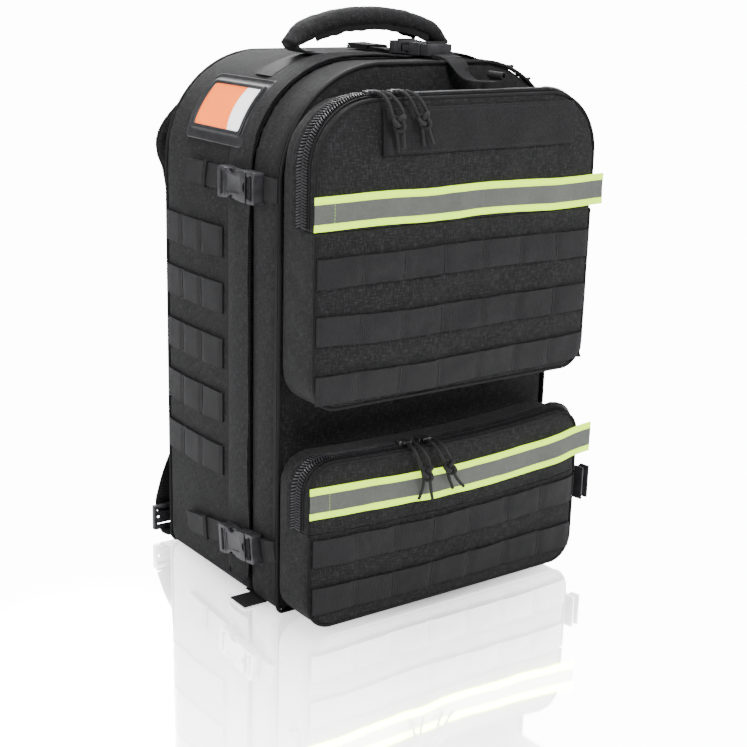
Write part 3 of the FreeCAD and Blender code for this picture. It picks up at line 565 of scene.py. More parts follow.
def wrap(bm, spine, lift=0.0):
    """Bend a shape made along X on to a spine of (point, outward direction) pairs."""
    points = [Vector(p) for p, _ in spine]
    outs = [Vector(o).normalized() for _, o in spine]
    marks = [0.0]
    for a, b in zip(points, points[1:]):
        marks.append(marks[-1] + (b - a).length)
    last = len(points) - 2
    for vert in bm.verts:
        along, across, height = vert.co
        i = min(max(bisect_right(marks, along) - 1, 0), last)
        share = (along - marks[i]) / max(marks[i + 1] - marks[i], 1e-6)
        out = outs[i].lerp(outs[i + 1], min(max(share, 0.0), 1.0)).normalized()
        ahead = (points[i + 1] - points[i]).normalized()
        side = out.cross(ahead).normalized()
        vert.co = points[i].lerp(points[i + 1], share) + side * across + out * (height + lift)
    return bm


def span(spine):
    return sum((Vector(a[0]) - Vector(b[0])).length for a, b in zip(spine, spine[1:]))


def arch(half, top, radius, low, y, grow=0.0, step=3.0):
    """A spine over a rounded outline, from low on the left side to low on the right."""
    spine = [((-half - grow, y, low), (-1, 0, 0))]
    for middle, first in ((-half + radius, 180.0), (half - radius, 90.0)):
        count = math.ceil(radius * math.pi / 2 / step)
        for i in range(count + 1):
            a = math.radians(first - 90.0 * i / count)
            out = Vector((math.cos(a), 0.0, math.sin(a)))
            spine.append((Vector((middle, y, top - radius)) + out * (radius + grow), out))
    spine.append(((half + grow, y, low), (1, 0, 0)))
    return spine


def ring(half, low, top, r_top, r_low, y, grow=0.0, step=3.0):
    """A closed spine round a rounded outline, from the middle of its lower edge."""
    spine = [((0.0, y, low - grow), (0, 0, -1))]
    corners = ((-half + r_low, low + r_low, r_low, 270.0), (-half + r_top, top - r_top, r_top, 180.0),
               (half - r_top, top - r_top, r_top, 90.0), (half - r_low, low + r_low, r_low, 0.0))
    for x, z, radius, first in corners:
        count = math.ceil(radius * math.pi / 2 / step)
        for i in range(count + 1):
            a = math.radians(first - 90.0 * i / count)
            out = Vector((math.cos(a), 0.0, math.sin(a)))
            spine.append((Vector((x, y, z)) + out * (radius + grow), out))
    spine.append(((0.0, y, low - grow), (0, 0, -1)))
    return spine


def smooth_spine(points, out, step=3.0):
    """A spine through a few points, rounded between them; out is one direction or one for each point."""
    outs = [Vector(o) for o in out] if isinstance(out, list) else [Vector(out)] * len(points)
    pts = [Vector(p) for p in points]
    full = [2 * pts[0] - pts[1]] + pts + [2 * pts[-1] - pts[-2]]
    spine = []
    for i in range(len(pts) - 1):
        a, b, c, d = full[i:i + 4]
        count = max(2, round((c - b).length / step))
        for k in range(count):
            t = k / count
            where = 0.5 * (2 * b + (c - a) * t + (2 * a - 5 * b + 4 * c - d) * t * t
                           + (3 * b - a - 3 * c + d) * t ** 3)
            spine.append((where, outs[i].lerp(outs[i + 1], t).normalized()))
    spine.append((pts[-1], outs[-1]))
    return spine


def tube(name, points, radius, finish, body, slot, closed=False, bend=None, stands_for=()):
    """A round cord or piping through close points, as a mesh."""
    curve = bpy.data.curves.new(name, "CURVE")
    curve.dimensions = "3D"
    curve.bevel_depth = radius * MM
    curve.bevel_resolution = 3
    curve.use_fill_caps = not closed
    spline = curve.splines.new("POLY")
    spline.points.add(len(points) - 1)
    for point, where in zip(spline.points, points):
        point.co = (*(Vector(where) * MM), 1.0)
    spline.use_cyclic_u = closed
    holder = bpy.data.objects.new(name, curve)
    bpy.context.scene.collection.objects.link(holder)
    bpy.context.view_layer.update()
    mesh = evaluated_mesh(holder)
    bpy.data.objects.remove(holder)
    mesh.name = name
    made = bpy.data.objects.new(name, mesh)
    bpy.context.scene.collection.objects.link(made)
    return dress(made, finish, body, slot, stands_for, None, bend)


def rounded_slab(half, low, top, r_top, r_low, y0, y1):
    """A rounded outline given depth from y0 to y1."""
    bm = bmesh.new()
    corners = [bm.verts.new((x, y0, z)) for x, z in ((-half, low), (half, low), (half, top), (-half, top))]
    bm.faces.new(corners)
    for pair, radius in ((corners[:2], r_low), (corners[2:], r_top)):
        bmesh.ops.bevel(bm, geom=pair, offset=radius, offset_type="OFFSET", segments=10, profile=0.5,
                        affect="VERTICES", material=-1)
    grown = bmesh.ops.extrude_face_region(bm, geom=bm.faces[:])["geom"]
    bmesh.ops.translate(bm, vec=(0, y1 - y0, 0), verts=[g for g in grown if isinstance(g,
            bmesh.types.BMVert)])
    bmesh.ops.recalc_face_normals(bm, faces=bm.faces)
    return bm


# ---------------------------------------------------------------- swollen cloth
def swell(name, bm, voxel, cap, seams, pressure=4.0, folds=0.0, grain=(1.0, 1.0, 1.0)):
    """Sew a closed shape in cloth, blow it up between its seams and return its mesh, in metres."""
    made = loose(name, bm)
    mould = made.modifiers.new("remesh", "REMESH")
    mould.mode = "VOXEL"
    mould.voxel_size = voxel * MM
    made.data = evaluated_mesh(made)
    made.modifiers.clear()
    count = len(made.data.vertices)
    rest = np.zeros(count * 3)
    made.data.vertices.foreach_get("co", rest)
    rest = rest.reshape(-1, 3)
    held = seams(rest / MM)
    tree = kdtree.KDTree(int(held.sum()))
    for i, k in enumerate(np.flatnonzero(held)):
        tree.insert(rest[k], i)
    tree.balance()
    away = np.array([tree.find(p)[2] for p in rest]) / MM
    group = made.vertex_groups.new(name="seams")
    group.add([int(k) for k in np.flatnonzero(held)], 1.0, "REPLACE")
    cloth = made.modifiers.new("cloth", "CLOTH")
    cloth.settings.quality = 4
    cloth.settings.use_pressure = True
    cloth.settings.uniform_pressure_force = pressure
    cloth.settings.effector_weights.gravity = 0.0
    cloth.settings.vertex_group_mass = "seams"
    cloth.settings.tension_stiffness = 8.0
    cloth.settings.compression_stiffness = 8.0
    cloth.settings.bending_stiffness = 0.5
    cloth.collision_settings.use_collision = False
    for step in range(1, 21):
        bpy.context.scene.frame_set(step)
    blown = evaluated_mesh(made)
    after = np.zeros(count * 3)
    blown.vertices.foreach_get("co", after)
    moved = after.reshape(-1, 3) - rest
    made.modifiers.clear()
    made.vertex_groups.clear()
    bpy.data.meshes.remove(blown)
    bpy.context.scene.frame_set(1)
    travel = np.maximum(np.linalg.norm(moved, axis=1), 1e-9)
    moved *= (cap * MM * np.tanh(travel / (cap * MM)) / travel)[:, None]
    if folds:
        normal = np.zeros(count * 3)
        made.data.vertices.foreach_get("normal", normal)
        rise = np.array([noise.fractal(Vector(p * grain) * 26.0, 0.9, 2.1, 3) for p in rest])
        loose_share = 1 - np.exp(-(away / 22.0) ** 2)
        moved += normal.reshape(-1, 3) * (rise * loose_share * folds * MM)[:, None]
    made.data.vertices.foreach_set("co", (rest + moved).ravel())
    mesh = made.data
    bpy.data.objects.remove(made)
    return mesh


def cut_cloth(mesh, planes, keep):
    """Cut a copy of a mesh along planes and keep the faces whose middle, in millimetres, passes keep."""
    bm = bmesh.new()
    bm.from_mesh(mesh)
    bmesh.ops.scale(bm, vec=(1 / MM,) * 3, verts=bm.verts)
    for point, direction in planes:
        bmesh.ops.bisect_plane(bm, geom=bm.verts[:] + bm.edges[:] + bm.faces[:], dist=0.01, plane_co=point,
                               plane_no=direction)
    gone = [f for f in bm.faces if not keep(f.calc_center_median())]
    bmesh.ops.delete(bm, geom=gone, context="FACES")
    bmesh.ops.smooth_vert(bm, verts=[v for v in bm.verts if not v.is_boundary], factor=0.5, use_axis_x=True,
                          use_axis_y=True, use_axis_z=True)
    return bm


def outline_uv(half, low, top, r_top):
    """A UV rule for a bag's cloth: flat on faces that look along Y, round the outline on its edge."""
    spine = ring(half, low, top, r_top, 10.0, 0.0)
    line = np.array([p[:] if isinstance(p, Vector) else p for p, _ in spine])[:, [0, 2]]
    dense, marks = [], []
    total = 0.0
    for a, b in zip(line, line[1:]):
        length = float(np.linalg.norm(b - a))
        count = max(1, int(length / 3))
        for k in range(count):
            dense.append(a + (b - a) * k / count)
            marks.append(total + length * k / count)
        total += length
    tree = kdtree.KDTree(len(dense))
    for i, p in enumerate(dense):
        tree.insert((p[0], 0.0, p[1]), i)
    tree.balance()

    def rule(co, normal):
        if abs(normal.y) > 0.7:
            return (co.x, co.z)
        found = tree.find((co.x, 0.0, co.z))
        return (marks[found[1]], co.y)
    return rule


def surface_of(mesh):
    """A mesh in metres as a surface to lay things on, in millimetres."""
    points = [v.co / MM for v in mesh.vertices]
    return BVHTree.FromPolygons(points, [tuple(p.vertices) for p in mesh.polygons])


def settle(bm, surface, out, level, reach=None):
    """Lay a shape on a swollen surface: each point keeps its height above level along out."""
    out = Vector(out)
    for vert in bm.verts:
        height = vert.co.dot(out) - level
        probe = vert.co.copy()
        if reach is not None:
            probe = Vector((min(max(probe.x, -reach[0]), reach[0]), probe.y,
                            min(max(probe.z, reach[1]), reach[2])))
        start = probe + out * (level + 60.0 - probe.dot(out))
        hit = surface.ray_cast(start, -out, 140.0)[0]
        if hit is not None:
            vert.co += out * (hit.dot(out) + height - vert.co.dot(out))
    return bm


def near_outline(x, z, half, low, top, r_top, r_low, depth):
    """True within depth of a rounded outline, for arrays of points."""
    ax = np.abs(x)
    gap = np.minimum(half - ax, np.minimum(top - z, z - low))
    for radius, cz, corner in ((r_top, top - r_top, z > top - r_top), (r_low, low + r_low, z < low + r_low)):
        inside = corner & (ax > half - radius)
        arc = radius - np.hypot(ax - (half - radius), z - cz)
        gap = np.where(inside, arc, gap)
    return gap < depth


def sag_at(place):
    """How far the lower pocket hangs down at a point: in the middle of its top, not at its right end."""
    share = min(max(place.z / 150.0, 0.0), 1.0)
    along = place.x / 158.0
    return share * 5.0 * (max(0.0, 1 - along * along) - max(0.0, along) ** 2)


def lower_sag(bm):
    for vert in bm.verts:
        vert.co.z -= sag_at(vert.co)
    return bm


# ---------------------------------------------------------------- pull cords
PULLS = {
    "upper_pull_left_a": (60.1, [(-94, -123.5, 469.2), (-93, -133, 469), (-90, -139, 458), (-85, -137.5, 446),
                                 (-80, -136.5, 434), (-79, -136.5, 421)]),
    "upper_pull_left_b": (57.2, [(-88, -123.5, 469.2), (-86, -134, 468.5), (-79, -140, 457),
                                 (-77, -139.5, 446),
                                 (-76, -138.5, 434), (-75.5, -139, 424)]),
    "upper_pull_right_a": (57.3, [(-70, -123.5, 469.2), (-70, -133, 469), (-66, -139, 458),
                                  (-59, -137.5, 447),
                                  (-54, -136.5, 436), (-53, -136.5, 425)]),
    "upper_pull_right_b": (55.6, [(-64, -123.5, 469.2), (-61, -134, 468.5), (-55, -140, 457),
                                  (-51, -139.5, 446),
                                  (-49.5, -138.5, 436), (-45, -139, 427)]),
    "lower_pull_left_a": (64.6, [(-49, -123.5, 158.6), (-50, -133, 158.4), (-47, -138.5, 147),
                                 (-42, -138, 135),
                                 (-40, -138.5, 122), (-46, -138.5, 110)]),
    "lower_pull_left_b": (65.1, [(-43, -123.5, 158.4), (-42, -134, 158), (-37, -140, 146), (-35.5, -141, 135),
                                 (-36, -141.5, 122), (-33, -142, 109)]),
    "lower_pull_right_a": (63.2, [(-27, -123.5, 158.4), (-27, -133, 158.2), (-22, -138.5, 147),
                                  (-16, -138, 136),
                                  (-12, -138.5, 124), (-7, -138.5, 113)]),
    "lower_pull_right_b": (64.5, [(-21, -123.5, 158.4), (-19, -134, 157.9), (-14, -140, 146),
                                  (-10, -141, 136),
                                  (-7, -141.5, 124), (3, -142, 114)]),
    "main_pull_left": (37.1, [(96.5, -35, 483.5), (98.5, -44, 483.3), (101, -53, 482), (101, -62, 481.5),
                              (98, -71, 482.5)]),
    "main_pull_right": (37.8, [(116.5, -35, 472.8), (119, -44, 471.5), (122, -53, 469), (122.5, -62, 468.5),
                               (119.5, -71, 471)]),
}


def pull_cord(name, points, body):
    curve = bpy.data.curves.new(name + "_cord", "CURVE")
    curve.dimensions = "3D"
    curve.bevel_depth = 1.5 * MM
    curve.bevel_resolution = 3
    curve.resolution_u = 10
    curve.use_fill_caps = True
    spline = curve.splines.new("NURBS")
    spline.points.add(len(points) - 1)
    for point, where in zip(spline.points, points):
        point.co = (*(Vector(where) * MM), 1.0)
    spline.order_u = 3
    spline.use_endpoint_u = True
    made = bpy.data.objects.new(name + "_cord", curve)
    bpy.context.scene.collection.objects.link(made)
    curve.materials.append(CORD)
    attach(made, body)
    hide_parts(name)
    return made


def knot(name, middle, ahead, body, size=2.0):
    """A fat overhand knot of the same cord, tight round both strands."""
    ahead = Vector(ahead).normalized()
    side = ahead.cross(Vector((0, -1, 0))).normalized()
    face = side.cross(ahead)
    points = []
    for i in range(48):
        t = 2 * math.pi * i / 48
        x, y, z = math.sin(t) + 2 * math.sin(2 * t), math.cos(t) - 2 * math.cos(2 * t), -1.3 * math.sin(3 * t)
        points.append(Vector(middle) + (side * x + ahead * y * 1.15 + face * z) * size)
    return tube(name, points, 1.9, CORD, body, "pull_cord", closed=True)


def cords():
    knots = {"upper_pull_left": (-81, -139.0, 445.5), "upper_pull_right": (-55, -139.0, 446.5),
             "lower_pull_left": (-38.5, -140.5, 134), "lower_pull_right": (-12.5, -140.5, 135)}
    ways = {"upper_pull_left": (-4, 0, 24), "upper_pull_right": (-10, 0, 22),
            "lower_pull_left": (-3, 0, 24), "lower_pull_right": (-10, 0, 22)}
    for name, middle in knots.items():
        knot(name.replace("pull", "knot"), middle, ways[name], name.replace("pull", "slider"))
    for name, (length, points) in PULLS.items():
        pull = name[:-2] if name[-2] == "_" else name
        made = pull_cord(name, points, pull.replace("pull", "slider"))


# ---------------------------------------------------------------- main body
def shells():
    def rear_seams(p):
        x, y, z = p.T
        rim = (y > 123) | (y < -18) | (np.abs(y - 8) < 3) | (z < 5)
        turn = np.degrees(np.arctan2(-(x - SHOULDER.x), z - SHOULDER.z))
        under_frame = (x < -50) & (z > 385) & (np.abs(turn - HOLDER_TURN) < 22) & (y < 96)
        return rim | under_frame

    def front_seams(p):
        x, y, z = p.T
        edge = near_outline(x, z, HALF, 0.0, HEIGHT, TOP_RADIUS, 10.0, 6.0)
        return (y > -31) | (edge & (y < -72)) | (z < 5) | (y < -74) & (z > 150) & (z < 210) & (np.abs(x) > 140)

    rule = outline_uv(HALF, 0.0, HEIGHT, TOP_RADIUS)
    rear = swell("rear", rounded_slab(HALF, 0.0, HEIGHT, TOP_RADIUS, 10.0, ZIP_Y + JOIN_GAP, BACK_Y), 6.0,
                 3.5,
                 rear_seams, folds=0.9)
    bm = cut_cloth(rear, [], lambda c: c.y > ZIP_Y + 1.0)
    for vert in bm.verts:
        if vert.is_boundary:
            vert.co.y = ZIP_Y + JOIN_GAP
    lay_uv(bm, rule)
    made = piece("rear_cloth", bm, CLOTH, "rear", "shell_cloth", ["rear_shell"], smooth=None)
    line(made, 4.0)
    front = swell("front", rounded_slab(HALF, 0.0, HEIGHT, TOP_RADIUS, 10.0, FRONT_Y, ZIP_Y - JOIN_GAP),
                  6.0, 3.0,
                  front_seams, folds=0.8)
    bm = cut_cloth(front, [], lambda c: c.y < ZIP_Y - 1.0)
    for vert in bm.verts:
        if vert.is_boundary:
            vert.co.y = ZIP_Y - JOIN_GAP
    lay_uv(bm, rule)
    made = piece("front_cloth", bm, CLOTH, "front_panel", "shell_cloth", ["front_shell"], smooth=None)
    line(made, 4.0)
    return surface_of(rear), surface_of(front)


def line(made, thick):
    """Give a cloth shell its thickness, with the lining on the inside."""
    wall = made.modifiers.new("wall", "SOLIDIFY")
    wall.thickness = thick * MM
    wall.offset = -1.0
    made.data.materials.append(LINING)
    wall.material_offset = 1
    wall.material_offset_rim = 0


def body_trim():
    """Piping and seam lines that follow the main body's outline."""
    def rim_line(y, grow):
        points = [Vector(p) for p, _ in ring(HALF, 0.0, HEIGHT, TOP_RADIUS, 10.0, y, grow)][:-1]
        for point in points:
            point.z = max(point.z, 2.2)
        return points
    tube("rear_piping", rim_line(126.2, -1.5), 1.9, BINDING, "rear", "shell_cloth", closed=True)
    tube("front_piping", rim_line(-75.8, -0.2), 1.8, BINDING, "front_panel", "shell_cloth", closed=True)
    for name, y, body in (("rear_seam", 8.6, "rear"), ("front_seam", -71.0, "front_panel")):
        spine = arch(HALF, HEIGHT, TOP_RADIUS, 12.0, y)
        bm = wrap(flat_band(span(spine), 5.0, 0.9, step=4.0, across=2), spine)
        piece(name + "_tape", bm, BINDING, body, "shell_cloth")
    spine = [((-150.0 + 10.0 * i, -25.0, 0.4), (0, 0, 1)) for i in range(31)]
    bm = wrap(flat_band(300.0, 26.0, 0.8, step=10.0, across=8), spine)
    piece("bottom_hinge_tape", bm, BINDING, "front_panel", "shell_cloth",
          bend=("rear", (0, -17, 0), (0, -33, 0)))


def storm_flap():
    """A soft flap over the main zipper, sewn behind it, pressed flat under the buckles."""
    spine = arch(HALF, HEIGHT, TOP_RADIUS, 20.0, -11.5)
    bm = flat_band(span(spine), 39.0, 1.2, step=4.0, across=14)
    wrap(bm, spine)
    for vert in bm.verts:
        x, y, z = vert.co
        back = (8.0 - y) / 39.0
        side_on = abs(abs(x) - HALF) < 12
        press = 1.0
        for height in (UPPER_STRAP_Z, LOWER_STRAP_Z):
            if side_on:
                press = min(press, min(max((abs(z - height) - 16.0) / 26.0, 0.0), 1.0))
        if z > 470:
            press = min(press, min(max((abs(x - TOP_STRAP_X) - 16.0) / 26.0, 0.0), 1.0))
        turn = math.degrees(math.atan2(-(x - SHOULDER.x), z - SHOULDER.z))
        if x < -50 and z > 385:
            press = min(press, min(max((abs(turn - HOLDER_TURN) - 20.0) / 12.0, 0.0), 1.0) if y > -14 else 1.0)
        wave = noise.noise(Vector((x, 0.0, z)) * 0.018)
        rise = (math.sin(math.pi * min(back,
                1.0) ** 0.8) * 2.6 + 1.9 * back) * (0.1 + 0.9 * press) + 1.1 * back
        rise += wave * 1.2 * back * press
        middle = Vector((min(max(x, -55.0), 55.0), y, min(z, 388.0)))
        out = (vert.co - middle).normalized()
        pulled = 0.0
        if x > 55.0 and z > 388.0:
            pulled = 6.5 * min(1.0, math.sin(min(math.pi, max(0.0, (z - 388.0) / 100.0 * math.pi))) * 2.5)
        vert.co += out * max(rise, 0.0)
        vert.co.y += pulled * max(0.0, back - 0.2)
    piece("zipper_flap", bm, FLAP_CLOTH, "rear", "shell_cloth", ["storm_flap"])


# ---------------------------------------------------------------- zippers
def lean(bm, spine, tilt, reach):
    """Turn a zipper towards the front where it runs down the sides, about its front edge."""
    marks = [0.0]
    for a, b in zip(spine, spine[1:]):
        marks.append(marks[-1] + (Vector(b[0]) - Vector(a[0])).length)
    for vert in bm.verts:
        i = min(max(bisect_right(marks, vert.co.x) - 1, 0), len(spine) - 1)
        t = math.radians(tilt) * abs(Vector(spine[i][1]).x) ** 0.8
        y, z = vert.co.y, vert.co.z
        vert.co.y = y * math.cos(t) - z * math.sin(t)
        vert.co.z = y * math.sin(t) + z * math.cos(t) + reach * math.sin(t)
    return bm


def zipper(name, spine, front, body, stands_for, pitch=2.45, bend=None, sag=False, tape=5.6, tilt=38.0,
           tall=2.0):
    """One half of a coil zipper, on the front or the rear side of its line: its teeth and its tape."""
    length = span(spine)
    sign = -1.0 if front else 1.0
    bm = bmesh.new()
    bmesh.ops.create_cube(bm, size=1.0)
    bmesh.ops.scale(bm, vec=(1.2, 5.0, tall), verts=bm.verts)
    bmesh.ops.bevel(bm, geom=bm.edges[:] + bm.verts[:], offset=0.4, offset_type="OFFSET", segments=2,
                    profile=0.5,
                    affect="EDGES", material=-1)
    bmesh.ops.rotate(bm, cent=(0, 0, 0), matrix=Matrix.Rotation(math.radians(20.0 * sign), 3, "Z"),
                     verts=bm.verts)
    bmesh.ops.translate(bm, vec=(pitch / 2 + (0.0 if front else pitch / 2), sign * 2.25, 0.9 + tall / 2),
                        verts=bm.verts)
    repeat(bm, int(length / pitch) - 1, pitch)
    bands = [("_coil", bm, COIL, "zipper_coil")]
    bm = flat_band(length, tape, 0.9, step=4.0, across=3)
    bmesh.ops.translate(bm, vec=(0, sign * tape / 2, 0), verts=bm.verts)
    bands.append(("_tape", bm, ZIP_TAPE, "zipper_coil"))
    if tilt:
        wide = 2.0 if front else 8.0
        bm = flat_band(length, wide, 1.4, step=4.0, across=6)
        bmesh.ops.translate(bm, vec=(0, sign * (tape + wide / 2 - 0.6), 0), verts=bm.verts)
        bands.append(("_edge", bm, BINDING if front else CLOTH, "shell_cloth"))
    for label, bm, finish, slot in bands:
        lean(bm, spine, tilt, tape)
        if label == "_edge" and not front:
            for vert in bm.verts:
                drop = max(0.0, vert.co.y - tape + 1.0) / 8.0
                vert.co.z *= max(0.0, 1 - drop * drop)
        wrap(bm, spine)
        if sag:
            lower_sag(bm)
        piece(name + label, bm, finish, body, slot, stands_for if label == "_coil" else (), bend=bend)


# ---------------------------------------------------------------- pockets
def pocket(name, half, low, top, r_top, fold, cap):
    """A pocket and its lid, from one swollen cloth; returns the surface of its cloth and the lid's bend."""
    def seams(p):
        x, y, z = p.T
        edge = near_outline(x, z, half, low, top, r_top, POCKET_BASE, 5.0)
        at_zip = (np.abs(y - LID_Y) < 5) & (z > fold)
        return (edge & (y < POCKET_Y + 3.5)) | at_zip | (y > FRONT_Y - 4) | (z < 6.5)

    mesh = swell(name, rounded_slab(half, low, top, r_top, POCKET_BASE, POCKET_Y, FRONT_Y), 4.5, cap, seams,
                 folds=2.4 if low > 100 else 2.0, grain=(1.0, 1.0, 1.7))
    rule = outline_uv(half, low, top, r_top)
    lid_name = "upper_lid" if low > 100 else "lower_lid"
    bend = ("front_panel", (0, POCKET_Y, fold + 1.0), (0, POCKET_Y, fold + 15.0))
    gap = JOIN_GAP
    fixed = cut_cloth(mesh, [((0, 0, fold - gap), (0, 0, 1)), ((0, LID_Y + gap, 0), (0, 1, 0))],
                      lambda c: c.y < FRONT_Y - 1.5 and (c.z < fold - gap or c.y > LID_Y + gap))
    lid = cut_cloth(mesh, [((0, 0, fold + gap), (0, 0, 1)), ((0, LID_Y - gap, 0), (0, 1, 0))],
                    lambda c: c.z > fold + gap and c.y < LID_Y - gap)
    sag = low < 100
    for bm, part, body, node_name, bent in ((fixed, "_cloth", "front_panel", name, None),
                                            (lid, "_lid_cloth", lid_name, name + "_lid", bend)):
        lay_uv(bm, rule)
        if sag:
            for vert in bm.verts:
                past = abs(vert.co.x) - 157.4
                if past > 0.0:
                    clear = min(max((abs(vert.co.z - 62.0) - 20.0) / 16.0, 0.0), 1.0)
                    vert.co.x -= math.copysign(past * (1 - clear), vert.co.x)
            lower_sag(bm)
        made = piece(name + part, bm, CLOTH, body, "shell_cloth", [node_name], smooth=None, bend=bent)
        soft = made.modifiers.new("round", "SUBSURF")
        soft.levels = soft.render_levels = 1
        line(made, 2.6)

    def edge_points(y, grow, keep):
        spine = ring(half, low, top, r_top, POCKET_BASE, y, grow)[:-1]
        return [p for p, _ in spine], keep
    points, _ = edge_points(POCKET_Y + 1.6, -0.9, None)
    fine = [Vector(p) for p in points]
    dense = []
    for a, b in zip(fine, fine[1:] + fine[:1]):
        count = max(1, int((b - a).length / 3.0))
        dense += [a.lerp(b, k / count) for k in range(count)]
    if sag:
        for p in dense:
            p.z -= sag_at(p)
    below = [p for p in dense if p.z <= fold]
    above = [p for p in dense if p.z > fold]
    start = max(range(len(below)), key=lambda i: (below[i] - below[i - 1]).length)
    tube(name + "_piping", below[start:] + below[:start], 1.5, BINDING, "front_panel", "shell_cloth")
    tube(name + "_lid_piping", above, 1.5, BINDING, lid_name, "shell_cloth", bend=bend)
    zip_spine = arch(half, top, r_top, fold + 2.0, LID_Y, 0.2)
    zipper(name + "_zipper_fixed", zip_spine, False, "front_panel", [name + "_zipper_fixed"], sag=sag)
    zipper(name + "_zipper_lid", zip_spine, True, lid_name, [name + "_zipper_lid"], bend=bend, sag=sag)
    return surface_of(mesh), bend


def place_front(bm, x, z):
    """Stand a flat band up on the pocket face: X stays, Y becomes Z, height points forward."""
    bmesh.ops.rotate(bm, cent=(0, 0, 0), matrix=Matrix.Rotation(math.radians(90.0), 3, "X"), verts=bm.verts)
    bmesh.ops.translate(bm, vec=(x, POCKET_Y, z), verts=bm.verts)
    return bm


def slack(bm, low):
    """Let a row of webbing hang unevenly."""
    for vert in bm.verts:
        vert.co.z += 2.6 * noise.noise(Vector((vert.co.x * 0.012 + low, low * 0.31, 0.5))) - 0.6
    return bm


def webbing_row(name, surface, low, tall, cells, x0, x1, body, stands_for, sag):
    """A row of load webbing, sewn down between its cells."""
    length = x1 - x0
    bm = flat_band(length, tall, 1.5, step=2.6, across=6)
    cell = length / cells
    for vert in bm.verts:
        share = (vert.co.x / cell) % 1.0
        lift = min(1.0, math.sin(math.pi * share) * 2.2)
        sway = noise.noise(Vector((vert.co.x * 0.03, low, 0.0)))
        vert.co.z += 1.3 * lift * (1.0 + 0.5 * sway)
    slack(place_front(bm, x0, low + tall / 2), low)
    settle(bm, surface, (0, -1, 0), -POCKET_Y, (150.0, low - 60.0, low + 90.0))
    if sag:
        lower_sag(bm)
    made = piece(name, bm, WEB, body, "webbing", stands_for)
    bm = flat_band(1.3, tall - 3.0, 0.6, step=1.3, across=6)
    bmesh.ops.translate(bm, vec=(-0.65, 0, 1.3), verts=bm.verts)
    repeat_at = [cell * k for k in range(cells + 1)]
    tacks = bmesh.new()
    source = bpy.data.meshes.new("tack")
    bm.to_mesh(source)
    bm.free()
    for where in repeat_at:
        before = set(tacks.verts)
        tacks.from_mesh(source)
        bmesh.ops.translate(tacks, vec=(min(max(where, 2.0), length - 2.0), 0, 0),
                            verts=[v for v in tacks.verts if v not in before])
    bpy.data.meshes.remove(source)
    slack(place_front(tacks, x0, low + tall / 2), low)
    settle(tacks, surface, (0, -1, 0), -POCKET_Y, (150.0, low - 60.0, low + 90.0))
    if sag:
        lower_sag(tacks)
    piece(name + "_tacks", tacks, THREAD, body, "webbing")
    return made


def pocket_rows(upper, lower):
    for i in range(3):
        webbing_row("upper_row_%d" % (i + 1), upper, 212.0 + 50.0 * i, 25.0, 7, -152.5, 152.5, "front_panel",
                    ["upper_webbing_rows"] if i == 0 else [], False)
    for i in range(2):
        webbing_row("lower_row_%d" % (i + 1), lower, 19.0 + 46.0 * i, 25.0, 7, -152.5, 152.5, "front_panel",
                    ["lower_webbing_rows"] if i == 0 else [], True)


def lid_trim(upper, lower, upper_bend, lower_bend):
    for name, surface, low, right, body, bend, sag in (
            ("upper_tape", upper, 360.5, 166.0, "upper_lid", upper_bend, False),
            ("lower_tape", lower, 109.0, 172.0, "lower_lid", lower_bend, True)):
        bm = flat_band(right + 156.0, 28.5, 0.9, step=4.0, across=6)
        for vert in bm.verts:
            vert.co.z += 0.5 + 0.8 * noise.noise(Vector((vert.co.x * 0.02, low, vert.co.y * 0.05)))
        slack(place_front(bm, -156.0, low + 14.25), low)
        settle(bm, surface, (0, -1, 0), -POCKET_Y, (148.0, 0.0, 600.0))
        if sag:
            lower_sag(bm)
        piece(name, bm, TAPE, body, "reflective_tape",
              ["upper_reflective_tape" if body == "upper_lid" else "lower_reflective_tape"], bend=bend)
    bm = flat_band(214.0, 38.0, 2.0, step=4.0, across=8, start=-107.0)
    place_front(bm, 17.0, 437.0)
    settle(bm, upper, (0, -1, 0), -POCKET_Y)
    piece("name_patch", bm, LOOP, "upper_lid", "loop_fabric", ["loop_patch"], bend=upper_bend)
    bm = flat_band(3.2, 38.5, 3.4, step=1.6, across=8, start=-1.6)
    place_front(bm, -90.0, 437.0)
    settle(bm, upper, (0, -1, 0), -POCKET_Y)
    piece("name_patch_edge", bm, BINDING, "upper_lid", "loop_fabric", bend=upper_bend)


def side_rows(rear):
    for side in (-1, 1):
        for i in range(5):
            low = 106.2 + 51.7 * i
            bm = flat_band(109.0, 28.0, 1.5, step=2.6, across=6)
            for vert in bm.verts:
                share = (vert.co.x / SIDE_CELL) % 1.0
                vert.co.z += 1.2 * min(1.0, math.sin(math.pi * share) * 2.4)
            spine = [((side * HALF, 126.0, low + 14.0), (side, 0, 0)),
                     ((side * HALF, 17.0, low + 14.0), (side, 0, 0))]
            wrap(bm, spine)
            settle(bm, rear, (side, 0, 0), HALF)
            label = "side_row_%s_%d" % ("left" if side < 0 else "right", i + 1)
            piece(label, bm, WEB, "rear", "webbing", ["side_webbing_rows"] if side < 0 and i == 0 else [])
            for k in range(4):
                tack = flat_band(1.3, 25.0, 0.6, step=1.3, across=6,
                                 start=min(max(SIDE_CELL * k - 0.65, 0.6), 107.2))
                for vert in tack.verts:
                    vert.co.z += 1.4
                wrap(tack, spine)
                settle(tack, rear, (side, 0, 0), HALF)
                piece("%s_tack_%d" % (label, k + 1), tack, THREAD, "rear", "webbing")


# ---------------------------------------------------------------- straps and buckles
STRAPS = {                                  # side, height and tilt of each
    "upper_left": (-1, UPPER_STRAP_Z, 0.0), "upper_right": (1, UPPER_STRAP_Z, 0.0),
    "lower_left": (-1, LOWER_STRAP_Z, LOWER_STRAP_TILT), "lower_right": (1, LOWER_STRAP_Z, LOWER_STRAP_TILT),
    "top": (0, HEIGHT, 0.0)}


